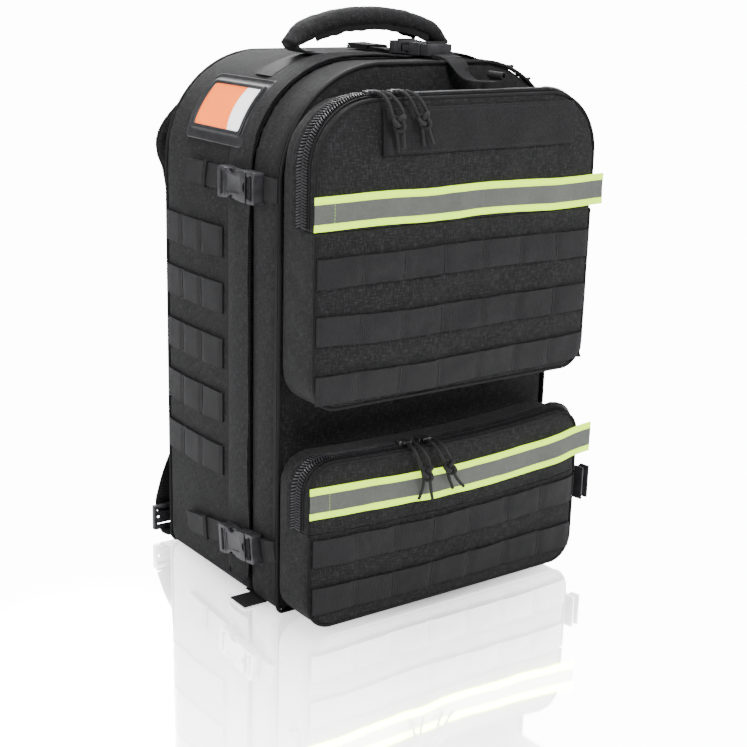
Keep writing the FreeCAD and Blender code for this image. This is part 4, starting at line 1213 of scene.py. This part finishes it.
def strap_place(name):
    """From the strap's own frame (along Y, out along Z) to its place, and its outward direction."""
    side, height, tilt = STRAPS[name]
    middle = Matrix.Translation((0, BUCKLE_PIVOT_Y, 0))
    turned = middle @ Matrix.Rotation(math.radians(-tilt), 4, "X") @ middle.inverted()
    spot = (TOP_STRAP_X, 0, HEIGHT) if side == 0 else (side * HALF, 0, height)
    out = Vector((side, 0, 0)) if side else Vector((0, 0, 1))
    return Matrix.Translation(spot) @ turned @ Matrix.Rotation(math.radians(90.0 * side), 4, "Y"), out


def along_y(bm):
    bmesh.ops.rotate(bm, cent=(0, 0, 0), matrix=Matrix.Rotation(math.radians(90.0), 3, "Z"), verts=bm.verts)
    return bm


def lay_strap(label, place, out, y0, y1, height, surface, body, finish, stands_for=(), wide=STRAP, thick=1.5,
              waves_by=0.3):
    bm = flat_band(y1 - y0, wide, thick, step=3.0, across=6, start=y0)
    for vert in bm.verts:
        vert.co.z += height + waves_by * noise.noise(Vector((vert.co.x * 0.05, height, vert.co.y * 0.04)))
    along_y(bm)
    bmesh.ops.transform(bm, matrix=place, verts=bm.verts)
    settle(bm, surface, out, HEIGHT if out.z else HALF)
    return piece(label, bm, finish, body, "webbing", stands_for)


def extruded(points, low, high):
    bm = bmesh.new()
    bm.faces.new([bm.verts.new((x, y, low)) for x, y in points])
    grown = bmesh.ops.extrude_face_region(bm, geom=bm.faces[:])["geom"]
    bmesh.ops.translate(bm, vec=(0, 0, high - low), verts=[g for g in grown if isinstance(g,
            bmesh.types.BMVert)])
    bmesh.ops.recalc_face_normals(bm, faces=bm.faces)
    return bm


def box_mm(x0, x1, y0, y1, z0, z1):
    return extruded([(x0, y0), (x1, y0), (x1, y1), (x0, y1)], z0, z1)


def moulded_mesh(base, holes=(), extras=(), width=0.8, segments=3):
    """One moulding: a base shape with its holes cut, the extra shapes joined and all its edges rounded."""
    made = loose("moulding", base)
    tools = []
    for shape, mode in [(e, "UNION") for e in extras] + [(h, "DIFFERENCE") for h in holes]:
        tool = loose("tool", shape)
        tools.append(tool)
        step = made.modifiers.new(mode, "BOOLEAN")
        step.operation = mode
        step.object = tool
        step.solver = "EXACT"
    soften = made.modifiers.new("soften", "BEVEL")
    soften.width = width * MM
    soften.segments = segments
    soften.limit_method = "ANGLE"
    soften.angle_limit = math.radians(32.0)
    soften.harden_normals = False
    mesh = evaluated_mesh(made)
    for tool in tools + [made]:
        bpy.data.objects.remove(tool)
    return mesh


def moulded(name, finish, body, slot, width=0.6, sag=False):
    """A moulding from the part's own shape, with its edges rounded."""
    bm = bmesh.new()
    bm.from_mesh(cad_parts[name].data)
    bmesh.ops.scale(bm, vec=(1 / MM,) * 3, verts=bm.verts)
    bmesh.ops.remove_doubles(bm, verts=bm.verts, dist=0.01)
    bmesh.ops.dissolve_limit(bm, angle_limit=math.radians(2.0), verts=bm.verts, edges=bm.edges)
    if sag:
        lower_sag(bm)
    return from_mesh(name + "_moulding", moulded_mesh(bm, width=width), Matrix(), finish, body, slot, [name])


def from_mesh(name, mesh, place, finish, body, slot, stands_for=(), bend=None):
    """A copy of a moulding's mesh, in metres, put in its place."""
    bm = bmesh.new()
    bm.from_mesh(mesh)
    bmesh.ops.scale(bm, vec=(1 / MM,) * 3, verts=bm.verts)
    bmesh.ops.transform(bm, matrix=place, verts=bm.verts)
    return piece(name, bm, finish, body, slot, stands_for, worn=True, bend=bend)


def mirror_outline(points):
    return points + [(-x, y) for x, y in reversed(points)]


def curve_points(middle, radius, first, last, count=8):
    return [(middle[0] + radius * math.cos(math.radians(first + (last - first) * i / count)),
             middle[1] + radius * math.sin(math.radians(first + (last - first) * i / count)))
            for i in range(count + 1)]


def socket_mesh():
    """The buckle's socket: waisted, open at its mouth and sides, with a ladder bar behind."""
    half = curve_points((11.4, 1.6), 2.2, 90.0, 0.0, 4) + curve_points((11.9, -5.2), 1.8, 10.0, -50.0, 3)
    half += curve_points((17.4, -19.5), 8.2, 125.0, 235.0, 12)
    half += curve_points((11.7, -33.6), 1.8, 50.0, 0.0, 3) + curve_points((10.9, -40.4), 2.6, 0.0, -60.0, 4)
    half += curve_points((5.5, -40.0), 2.0, -60.0, -90.0, 2)
    base = extruded(mirror_outline(half), 3.4, 14.4)
    room = box_mm(-12.0, 12.0, -50.0, -8.0, 5.5, 12.2)
    slot = box_mm(-10.6, 10.6, -4.4, -1.0, 0.0, 20.0)
    notch = extruded(curve_points((0.0, -43.0), 5.2, 20.0, 160.0, 10), 11.0, 20.0)
    panel = extruded(mirror_outline(curve_points((6.4, -12.0), 2.0, 90.0, 0.0, 4) + [(6.6, -20.0),
                                                                                     (6.6, -28.0)]
                                    + curve_points((4.4, -32.0), 2.0, 0.0, -90.0, 4)), 13.7, 16.0)
    bar = extruded(mirror_outline([(10.8, -6.2), (10.8, -8.2)]), 3.0, 15.2)
    return moulded_mesh(base, holes=[room, slot, notch, panel], extras=[bar], width=0.65)


def plug_mesh():
    """The buckle's plug: a bow-shaped shoulder with its strap slot, two springy prongs and a tongue."""
    half = [(8.6, -45.4)] + curve_points((11.2, -45.6), 2.4, 120.0, 0.0, 6) \
        + curve_points((11.2, -54.0), 2.4, 0.0, -110.0, 6) + [(7.0, -55.0)]
    base = extruded(mirror_outline(half), 3.8, 13.9)
    slot = box_mm(-10.5, 10.5, -52.4, -49.0, 0.0, 20.0)
    prongs = []
    for side in (-1, 1):
        line = [(6.6, -45.6), (10.8, -45.6), (11.0, -34.0), (12.6, -24.4), (13.3, -20.0), (12.6, -16.2),
                (9.0, -10.6),
                (5.6, -10.6), (7.4, -18.0), (7.2, -28.0)]
        bm = extruded([(side * x, y) for x, y in line], 6.3, 11.4)
        prongs.append(bm)
    tongue = box_mm(-2.1, 2.1, -46.0, -20.6, 6.3, 11.4)
    return moulded_mesh(base, holes=[slot], extras=prongs + [tongue], width=0.6)


def strap_turn(name, place, y0, y1, rising, body):
    """The strap where it comes up through its slot and lies over the bar."""
    spine = smooth_spine([(0, y0, 2.2), (0, y0 + (y1 - y0) * 0.35, 3.2), (0, y0 + (y1 - y0) * 0.55, 8.6),
                          (0, y0 + (y1 - y0) * 0.8, 14.6), (0, y1, 14.0), (0, y1 + (y1 - y0) * 0.12, 9.0)],
                         [(0, 0, 1), (0, -rising, 1), (0, -rising, 0.3), (0, -rising * 0.4, 1),
                          (0, rising * 0.6, 1),
                          (0, rising, 0)], step=1.2)
    bm = flat_band(span(spine), STRAP - 0.6, 1.4, step=1.2, across=4)
    wrap(bm, spine)
    bmesh.ops.transform(bm, matrix=place, verts=bm.verts)
    piece(name, bm, WEB, body, "webbing")


def compression_straps(rear, front):
    socket, plug = socket_mesh(), plug_mesh()
    for name in STRAPS:
        place, out = strap_place(name)
        first = name == "upper_left"
        from_mesh("socket_" + name, socket, place, PLASTIC, "rear", "buckle_plastic",
                  ["buckle_sockets"] if first else [])
        from_mesh("plug_" + name, plug, place, PLASTIC, "buckle_plug_" + name, "buckle_plastic",
                  ["buckle_plug_" + name])
        lay_strap("rear_strap_" + name, place, out, 2.0, 76.0, 1.3, rear, "rear", WEB_SEWN,
                  ["rear_compression_straps"] if first else [])
        lay_strap("rear_strap_fold_" + name, place, out, 5.0, 76.0, 3.0, rear, "rear", WEB, waves_by=0.9)
        lay_strap("strap_keeper_" + name, place, out, 40.0, 46.0, 3.2, rear, "rear", BINDING, wide=24.0,
                  thick=3.0)
        lay_strap("strap_end_" + name, place, out, 44.0, 75.0, 4.6, rear, "rear", WEB, waves_by=0.9,
                  thick=1.8)
        lay_strap("front_strap_" + name, place, out, -76.8, -46.0, 1.3, front, "front_panel", WEB,
                  ["front_compression_straps"] if first else [])
        lay_strap("front_strap_fold_" + name, place, out, -76.8, -57.0, 3.0, front, "front_panel", WEB,
                  waves_by=0.5)
        strap_turn("strap_turn_rear_" + name, place, 6.5, -6.6, 1, "rear")
        strap_turn("strap_turn_front_" + name, place, -59.0, -47.6, -1, "buckle_plug_" + name)
    spine = smooth_spine([(25, -76, 489.5), (25, -83, 485.0), (29, -89, 476.0), (40, -95, 471.6),
                          (54, -98, 471.2)],
                         [(0, 0, 1), (0, -0.6, 1), (0, -0.4, 1), (0, 0, 1), (0, 0, 1)], step=2.5)
    coil = []
    for i in range(15):
        a = math.radians(-90.0 + 36.0 * i)
        r = 4.6 - 0.14 * i
        centre = Vector((56.0, -98.5, 477.0))
        out = Vector((math.cos(a), 0, math.sin(a)))
        coil.append((centre + out * r, -out))
    spine = spine[:-1] + coil
    bm = flat_band(span(spine), STRAP, 1.4, step=2.0, across=6)
    wrap(bm, spine)
    piece("strap_tail", bm, WEB, "front_panel", "webbing")


# ---------------------------------------------------------------- carry handle
def sleeve(length, wide, tall, step=3.0, around=28, power=2.0):
    """A padded tube along X with a rounded cross-section, with UVs in millimetres."""
    bm = bmesh.new()
    count = max(2, round(length / step))
    rings = []
    for i in range(count + 1):
        ring_points = []
        for k in range(around):
            a = 2 * math.pi * k / around
            c, s = math.cos(a), math.sin(a)
            y = math.copysign(abs(c) ** (2 / power), c) * wide / 2
            z = math.copysign(abs(s) ** (2 / power), s) * tall / 2
            ring_points.append(bm.verts.new((length * i / count, y, z)))
        rings.append(ring_points)
    layer = bm.loops.layers.uv.verify()
    girth = math.pi * (wide + tall) / 2
    for i in range(count):
        for k in range(around):
            n = (k + 1) % around
            face = bm.faces.new((rings[i][k], rings[i + 1][k], rings[i + 1][n], rings[i][n]))
            for loop, (u, v) in zip(face.loops, ((i, k), (i + 1, k), (i + 1, k + 1), (i, k + 1))):
                loop[layer].uv = (length * u / count, girth * v / around)
    for end in (rings[0][::-1], rings[-1]):
        bm.faces.new(end)
    bmesh.ops.recalc_face_normals(bm, faces=bm.faces)
    return bm


def carry_handle():
    y = 22.0
    spine = smooth_spine([(-86, y, 499), (-66, y, 511.5), (-34, y, 520.0), (0, y, 522.5), (34, y, 520.0),
                          (66, y, 511.5), (86, y, 499)],
                         [(-0.6, 0, 1), (-0.5, 0, 1), (-0.2, 0, 1), (0, 0, 1), (0.2, 0, 1), (0.5, 0, 1),
                          (0.6, 0, 1)])
    length = span(spine)
    bm = sleeve(length, 28.0, 18.5, step=2.5, around=32, power=2.3)
    for vert in bm.verts:
        share = min(vert.co.x, length - vert.co.x) / 22.0
        slim = 0.4 + 0.6 * min(1.0, math.sin(min(share, 1.0) * math.pi / 2))
        vert.co.z *= slim
        vert.co.y *= 0.86 + 0.14 * min(share, 1.0)
        crease = noise.noise(Vector((vert.co.x * 0.16, vert.co.y * 0.06, vert.co.z * 0.1)))
        vert.co.z += 0.7 * crease * min(share, 1.0)
    wrap(bm, spine)
    made = piece("handle_grip", bm, CLOTH, "carry_handle", "shell_cloth", ["carry_handle"], smooth=None)
    for side in (-1, 1):
        edge = [(Vector(p) + Vector((0, side * 9.6, -8.6)), Vector((0, side, 0))) for p, o in spine][9:-9]
        bm = flat_band(span(edge), 5.6, 1.6, step=2.0, across=3)
        wrap(bm, edge)
        for vert in bm.verts:
            vert.co.z += 1.5 * noise.noise(Vector((vert.co.x * 0.11, side * 3.0, 0.0)))
            vert.co.y += side * 0.9 * noise.noise(Vector((vert.co.x * 0.15, side * 5.0, 2.0)))
        piece("handle_hem_%s" % ("front" if side < 0 else "rear"), bm, BINDING, "carry_handle", "webbing")
        foot = smooth_spine([(side * 70, y, 508.0), (side * 81, y, 501.0), (side * 81, y, 495.5),
                             (side * 68, y, 492.0),
                             (side * 50, y, 490.8)],
                            [(side * 0.5, 0, 1), (side, 0, 0.3), (side, 0, -0.5), (side * 0.4, 0, -1.0),
                             (0, 0, -1)], step=2.0)
        bm = flat_band(span(foot), 26.0, 1.6, step=2.0, across=6)
        wrap(bm, foot)
        label = "left" if side < 0 else "right"
        piece("handle_foot_" + label, bm, WEB_SEWN, "carry_handle", "webbing",
              bend=("rear", (side * 90, y, 490.8), (side * 90, y, 498.5)))
        bm = flat_band(16.0, 20.0, 0.6, step=2.0, across=4)
        bmesh.ops.translate(bm, vec=(side * 72 - 8.0, y, 492.3), verts=bm.verts)
        piece("handle_tack_" + label, bm, THREAD, "rear", "webbing")
    over = [(p, o) for p, o in arch(HALF, HEIGHT, TOP_RADIUS, 388.0, y, 0.3) if abs(Vector(p).x) < 113]
    bm = flat_band(span(over), 28.0, 1.3, step=4.0, across=6)
    wrap(bm, over)
    piece("handle_band", bm, WEB_SEWN, "rear", "webbing")


# ---------------------------------------------------------------- identification holder
def rounded_loop(half_x, half_y, radius, straight=14, corner=5):
    """Points round a rounded rectangle, the same number whatever its size."""
    points = []
    for cx, cy, first in ((1, 1, 0.0), (-1, 1, 90.0), (-1, -1, 180.0), (1, -1, 270.0)):
        middle = (cx * (half_x - radius), cy * (half_y - radius))
        points += curve_points(middle, radius, first, first + 90.0, corner)
        nx, ny = {(1, 1): (-1, 1), (-1, 1): (-1, -1), (-1, -1): (1, -1), (1, -1): (1, 1)}[(cx, cy)]
        follow = curve_points((nx * (half_x - radius), ny * (half_y - radius)), radius, first + 90.0,
                              first + 91.0, 1)[0]
        last = points[-1]
        points += [(last[0] + (follow[0] - last[0]) * k / straight,
                    last[1] + (follow[1] - last[1]) * k / straight)
                   for k in range(1, straight)]
    return points


def id_holder():
    bm = bmesh.new()
    rings = []
    for half_x, half_y, radius, height in ((33.7, 50.8, 6.0, 0.2), (33.9, 50.9, 6.0, 1.6),
                                           (32.9, 50.0, 5.4, 2.5),
                                           (31.6, 48.8, 5.0, 2.5), (31.0, 48.2, 5.0, 2.0),
                                           (25.8, 44.6, 4.4, 2.0), (25.2, 44.0, 4.2, 2.4),
                                           (24.4, 43.8, 4.0, 4.1),
                                           (23.6, 43.0, 3.8, 4.5), (21.9, 41.0, 3.6, 4.5),
                                           (21.2, 40.1, 3.4, 4.2),
                                           (20.7, 39.3, 3.0, 3.0), (20.6, 39.2, 3.0, 2.95),
                                           (22.6, 41.2, 3.2, 2.9),
                                           (22.8, 41.4, 3.2, 0.2)):
        rings.append([bm.verts.new((x, y, height)) for x, y in rounded_loop(half_x, half_y, radius)])
    rings.append(rings[0])
    for a, b in zip(rings, rings[1:]):
        for i in range(len(a)):
            n = (i + 1) % len(a)
            bm.faces.new((a[i], a[n], b[n], b[i]))
    bmesh.ops.recalc_face_normals(bm, faces=bm.faces)
    for vert in bm.verts:
        if vert.co.z < 1.8 and vert.co.y > 30 and abs(vert.co.x) < 25.5:
            vert.co.z = 1.8
    start = math.radians(HOLDER_TURN)
    reach = 34.0 / 100.1
    spine = []
    for i in range(25):
        a = start + reach - 2 * reach * i / 24
        out = Vector((-math.sin(a), 0, math.cos(a)))
        spine.append((SHOULDER + out * 100.1 + Vector((0, 39.0, 0)), out))
    middle = span(spine) / 2
    bmesh.ops.translate(bm, vec=(middle, 0, 0), verts=bm.verts)
    wrap(bm, spine)
    mark_edges(bm)
    piece("id_holder_frame", bm, FRAME_PLASTIC, "rear", "holder_frame", ["id_frame"], smooth=40.0)
    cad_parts["id_card"].data.materials.clear()
    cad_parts["id_card"].data.materials.append(CARD)
    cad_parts["id_window"].data.materials.clear()
    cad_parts["id_window"].data.materials.append(WINDOW)


# ---------------------------------------------------------------- back panel, straps and belt
def pad(name, shape, cap, stands_for, shift=(0, 0, 0)):
    """A soft pad on the back, sewn down round its rim."""
    bmesh.ops.translate(shape, vec=shift, verts=shape.verts)
    mesh = swell(name, shape, 4.5, cap, lambda p: (p[:, 1] < PAD_SEAT + 1.8), folds=0.5)
    bm = bmesh.new()
    bm.from_mesh(mesh)
    bmesh.ops.scale(bm, vec=(1 / MM,) * 3, verts=bm.verts)
    lay_uv(bm, lambda co, normal: (co.x, co.z) if abs(normal.y) > 0.5 else (co.x + co.z, co.y))
    made = piece(name, bm, MESH, "rear", "mesh_pad", stands_for, smooth=None)


def back_panel():
    for side in (-1, 1):
        label = "left" if side < 0 else "right"
        pad("back_pad_" + label, rounded_slab(55.0, 129.0, 424.0, 22.0, 22.0, PAD_SEAT, BACK_Y + 7.5), 3.0,
            ["back_pads"] if side < 0 else [], (side * 73.0, 0, 0))
    pad("lumbar_pad", rounded_slab(99.0, 29.0, 111.0, 22.0, 22.0, PAD_SEAT, BACK_Y + 6.6), 2.8, [])
    for label, half, low, top, side in (("left", 55.8, 128.2, 424.8, -1), ("right", 55.8, 128.2, 424.8, 1),
                                        ("lumbar", 99.8, 28.2, 111.8, 0)):
        spine = [(Vector(p) + Vector((side * 73.0, 0, 0)), o)
                 for p, o in ring(half, low, top, 22.0, 22.0, BACK_Y + 2.0)][:-1]
        tube("pad_piping_" + label, [p for p, _ in spine], 1.6, BINDING, "rear", "mesh_pad", closed=True)
    mesh = swell("yoke", rounded_slab(105.0, 440.0, 466.0, 6.0, 6.0, BACK_Y + 0.2, BACK_Y + 9.0), 3.5, 2.0,
                 lambda p: p[:, 1] < BACK_Y + 2.0, folds=0.4)
    bm = bmesh.new()
    bm.from_mesh(mesh)
    bmesh.ops.scale(bm, vec=(1 / MM,) * 3, verts=bm.verts)
    lay_uv(bm, lambda co, normal: (co.x, co.z))
    made = piece("strap_yoke_pad", bm, CLOTH, "rear", "shell_cloth", ["strap_yoke"], smooth=None)


def shoulder_straps():
    path = ((66, 449), (92, 431), (110, 412), (117, 396), (115, 374), (107, 300), (102, 225), (100, 166))
    rise = (142.0, 142.5, 152.0, 161.0, 150.0, 147.0, 146.8, 146.8)
    for side in (-1, 1):
        label = "left" if side < 0 else "right"
        body = "shoulder_strap_" + label
        spine = smooth_spine([(side * x, y, z) for (x, z), y in zip(path, rise)], (0, 1, 0), step=4.0)
        length = span(spine)
        bm = sleeve(length, 58.0, 12.0, step=4.0, around=36, power=3.2)
        for vert in bm.verts:
            share = min(vert.co.x, length - vert.co.x) / 26.0
            vert.co.y *= 0.8 + 0.2 * math.sin(min(share, 1.0) * math.pi / 2)
            vert.co.z *= 0.6 + 0.4 * min(share, 1.0)
            vert.co.z += 0.8 * noise.noise(Vector((vert.co.x * 0.04, vert.co.y * 0.05, side)))
        wrap(bm, spine)
        made = piece("shoulder_pad_%s_cloth" % label, bm, CLOTH, body, "shell_cloth",
                     ["shoulder_pad_" + label],
                     smooth=None)
        for edge in (-1, 1):
            rim = [(Vector(p) + Vector((0, 0.5, 0)), o) for p, o in spine]
            bm = flat_band(length - 12.0, 4.0, 3.4, step=4.0, across=2, start=6.0)
            bmesh.ops.translate(bm, vec=(0, edge * 27.6, -1.7), verts=bm.verts)
            wrap(bm, rim)
            piece("shoulder_binding_%s_%s" % (label, "in" if edge * side < 0 else "out"), bm, BINDING, body,
                  "shell_cloth")
        bm = flat_band(length - 60.0, WEBBING, 1.5, step=4.0, across=6, start=10.0)
        bmesh.ops.translate(bm, vec=(0, 0, 6.2), verts=bm.verts)
        wrap(bm, spine)
        piece("shoulder_webbing_" + label, bm, WEB_SEWN, body, "webbing")
        tail = smooth_spine([(side * 99.5, 146.4, 176), (side * 103, 146.4, 156), (side * 118, 146.5, 112),
                             (side * 138, 147.3, 68), (side * 147, 148.6, 38)], (0, 1, 0), step=4.0)
        bm = flat_band(span(tail), WEBBING, 1.6, step=4.0, across=6)
        wrap(bm, tail)
        piece("strap_tail_" + label, bm, WEB, "rear", "webbing", ["strap_webbing_" + label],
              bend=(body, (side * 146, 147, 50), (side * 108, 147, 150)))
        thread = smooth_spine([(side * LOCK_X, 150.6, 40), (side * LOCK_X, 150.4, 31), (side * LOCK_X, 146.6, 26.4),
                               (side * LOCK_X, 142.8, 21.2), (side * LOCK_X, 146.6, 16.0), (side * LOCK_X, 150.4, 12)],
                              [(0, 1, 0), (0, 1, 0.3), (0, 0.6, 1), (0, 1, 0), (0, 0.6, -1), (0, 1, 0)],
                              step=1.2)
        bm = flat_band(span(thread), 21.0, 1.3, step=1.2, across=4)
        wrap(bm, thread)
        piece("ladder_thread_" + label, bm, WEB, "ladder_lock_" + label, "webbing")
        moulded("ladder_lock_" + label, PLASTIC, "ladder_lock_" + label, "buckle_plastic", 0.7)
        tab = smooth_spine([(side * 128, 129.6, 8), (side * 140, 130.4, 5), (side * 145, 136, 4.6),
                            (side * 147, 144, 5.4),
                            (side * 147.5, 146.5, 8.6)],
                           [(0, 1, 0.6), (0, 0.6, 1), (0, 0, 1), (0, -0.4, 1), (0, -1, 0.2)], step=2.0)
        bm = flat_band(span(tab), 19.0, 1.4, step=2.0, across=4)
        wrap(bm, tab)
        piece("ladder_tab_" + label, bm, WEB, "rear", "webbing", ["sewn_webbing"] if side < 0 else [])


def waist_belt():
    z = BELT_Z
    spine = smooth_spine([(100, 129.4, z), (146, 129.6, z), (155.4, 127.2, z), (157.6, 119.5, z),
                          (159.2, 104, z),
                          (170.5, 30, z), (182.8, -62.5, z)],
                         [(0, 1, 0), (0, 1, 0), (0.7, 0.7, 0), (1, 0.15, 0), (1, 0.15, 0), (1, 0.15, 0),
                          (1, 0.15, 0)], step=3.0)
    bm = flat_band(span(spine), WEBBING, 1.6, step=3.0, across=6)
    wrap(bm, spine)
    piece("waist_webbing_right_band", bm, WEB, "waist_belt_right", "webbing", ["waist_webbing_right"],
          bend=("rear", (157.6, 122, z), (159, 106, z)))
    spine = smooth_spine([(-112.4, 128.6, z), (-112.6, 134, z), (-110.5, 139.4, z), (-98, 140.0, z),
                          (-34, 140.0, z)],
                         [(-1, 0, 0), (-1, 0.2, 0), (-0.5, 1, 0), (0, 1, 0), (0, 1, 0)], step=2.0)
    bm = flat_band(span(spine), WEBBING, 1.6, step=2.0, across=6)
    wrap(bm, spine)
    piece("waist_webbing_left_band", bm, WEB, "waist_belt_left", "webbing", ["waist_webbing_left"],
          bend=("rear", (-112, 139, z), (-101, 139, z)))
    moulded("waist_buckle_socket", PLASTIC, "waist_belt_right", "buckle_plastic", 0.7)
    moulded("waist_buckle_plug", PLASTIC, "waist_belt_left", "buckle_plastic", 0.7)


def sliders():
    for name in ("upper_slider_left", "upper_slider_right", "lower_slider_left", "lower_slider_right",
                 "main_slider_left", "main_slider_right"):
        moulded(name, METAL, name, "slider_metal", 0.5, name.startswith("lower"))


def floor_tab():
    bm = flat_band(24.0, WEBBING, 1.5, step=3.0, across=6)
    bmesh.ops.translate(bm, vec=(-173.0, -36.5, 0.8), verts=bm.verts)
    piece("floor_tab", bm, WEB, "front_panel", "webbing")


# ---------------------------------------------------------------- studio
AMBIENT, BACKDROP = 0.36, 14.0         # the light around the object, and the white seen behind it


def studio():
    bm = bmesh.new()
    bmesh.ops.create_grid(bm, x_segments=1, y_segments=1, size=4000.0)
    bmesh.ops.translate(bm, vec=(0, 0, -0.4), verts=bm.verts)
    floor = loose("floor", bm)
    white, tree, shader = material("studio floor", 0.3, Specular_IOR_Level=0.2)
    _, place = places(tree)
    cloudy = node(tree, "TexNoise", {"Vector": place, "Scale": 0.8, "Detail": 2.0}).outputs[0]
    feed(tree, shader, blend_colour(tree, cloudy, (0.93, 0.935, 0.945, 1), (0.96, 0.96, 0.965, 1)))
    seen = tree.nodes.new("ShaderNodeLightPath").outputs["Is Camera Ray"]
    glow = node(tree, "Emission", {"Color": (1.0, 1.0, 1.0, 1.0), "Strength": BACKDROP}).outputs[0]
    bright = node(tree, "CombineXYZ", {0: BACKDROP / AMBIENT, 1: BACKDROP / AMBIENT,
                                       2: BACKDROP / AMBIENT}).outputs[0]
    mirror = node(tree, "BsdfGlossy", {"Color": bright, "Roughness": 0.04}).outputs[0]
    far = node(tree, "VectorMath", {0: place}, operation="LENGTH").outputs["Value"]
    share = ramp(tree, far, 0.12, 0.66, 0.965, 0.35)
    lit = node(tree, "MixShader", {0: share, 1: glow, 2: mirror}).outputs[0]
    both = node(tree, "MixShader", {0: seen, 1: shader.outputs[0], 2: lit}).outputs[0]
    tree.links.new(both, tree.nodes["Material Output"].inputs["Surface"])
    floor.data.materials.append(white)
    world = bpy.data.worlds.new("studio")
    world.use_nodes = True
    tree = world.node_tree
    seen = tree.nodes.new("ShaderNodeLightPath").outputs["Is Camera Ray"]
    backdrop = tree.nodes["Background"]
    backdrop.inputs["Color"].default_value = (0.97, 0.985, 1.0, 1.0)
    tree.links.new(ramp(tree, seen, 0.0, 1.0, AMBIENT, BACKDROP), backdrop.inputs["Strength"])
    bpy.context.scene.world = world
    for name, where, size, power in (("key", (-0.4, -2.4, 2.4), 1.0, 80.0),
                                     ("fill", (2.4, -1.4, 1.6), 1.2, 26.0),
                                     ("side", (-2.6, 0.2, 1.8), 1.0, 44.0),
                                     ("rear", (0.8, 2.4, 2.0), 1.4, 60.0),
                                     ("top", (0.0, 0.2, 2.8), 1.0, 50.0)):
        lamp = bpy.data.lights.new(name, "AREA")
        lamp.shape = "DISK"
        lamp.size = size
        lamp.energy = power
        made = bpy.data.objects.new(name, lamp)
        bpy.context.scene.collection.objects.link(made)
        made.location = where
        made.rotation_euler = (Vector((0, 0, 0.24)) - Vector(where)).to_track_quat("-Z", "Y").to_euler()


# ---------------------------------------------------------------- everything in its place
camera()
cords()
rear_surface, front_surface = shells()
body_trim()
storm_flap()
upper_surface, upper_bend = pocket("upper_pocket", cap=8.5, **UPPER)
lower_surface, lower_bend = pocket("lower_pocket", cap=7.5, **LOWER)
pocket_rows(upper_surface, lower_surface)
lid_trim(upper_surface, lower_surface, upper_bend, lower_bend)
side_rows(rear_surface)
main_spine = arch(HALF, HEIGHT, TOP_RADIUS, 20.0, ZIP_Y, 0.2)
zipper("main_zipper_rear", main_spine, False, "rear", ["main_zipper_rear"], tape=4.4, tilt=0.0, tall=0.9)
zipper("main_zipper_front", main_spine, True, "front_panel", ["main_zipper_front"], tape=4.4, tilt=0.0,
       tall=0.9)
compression_straps(rear_surface, front_surface)
carry_handle()
id_holder()
back_panel()
shoulder_straps()
waist_belt()
sliders()
floor_tab()
studio()
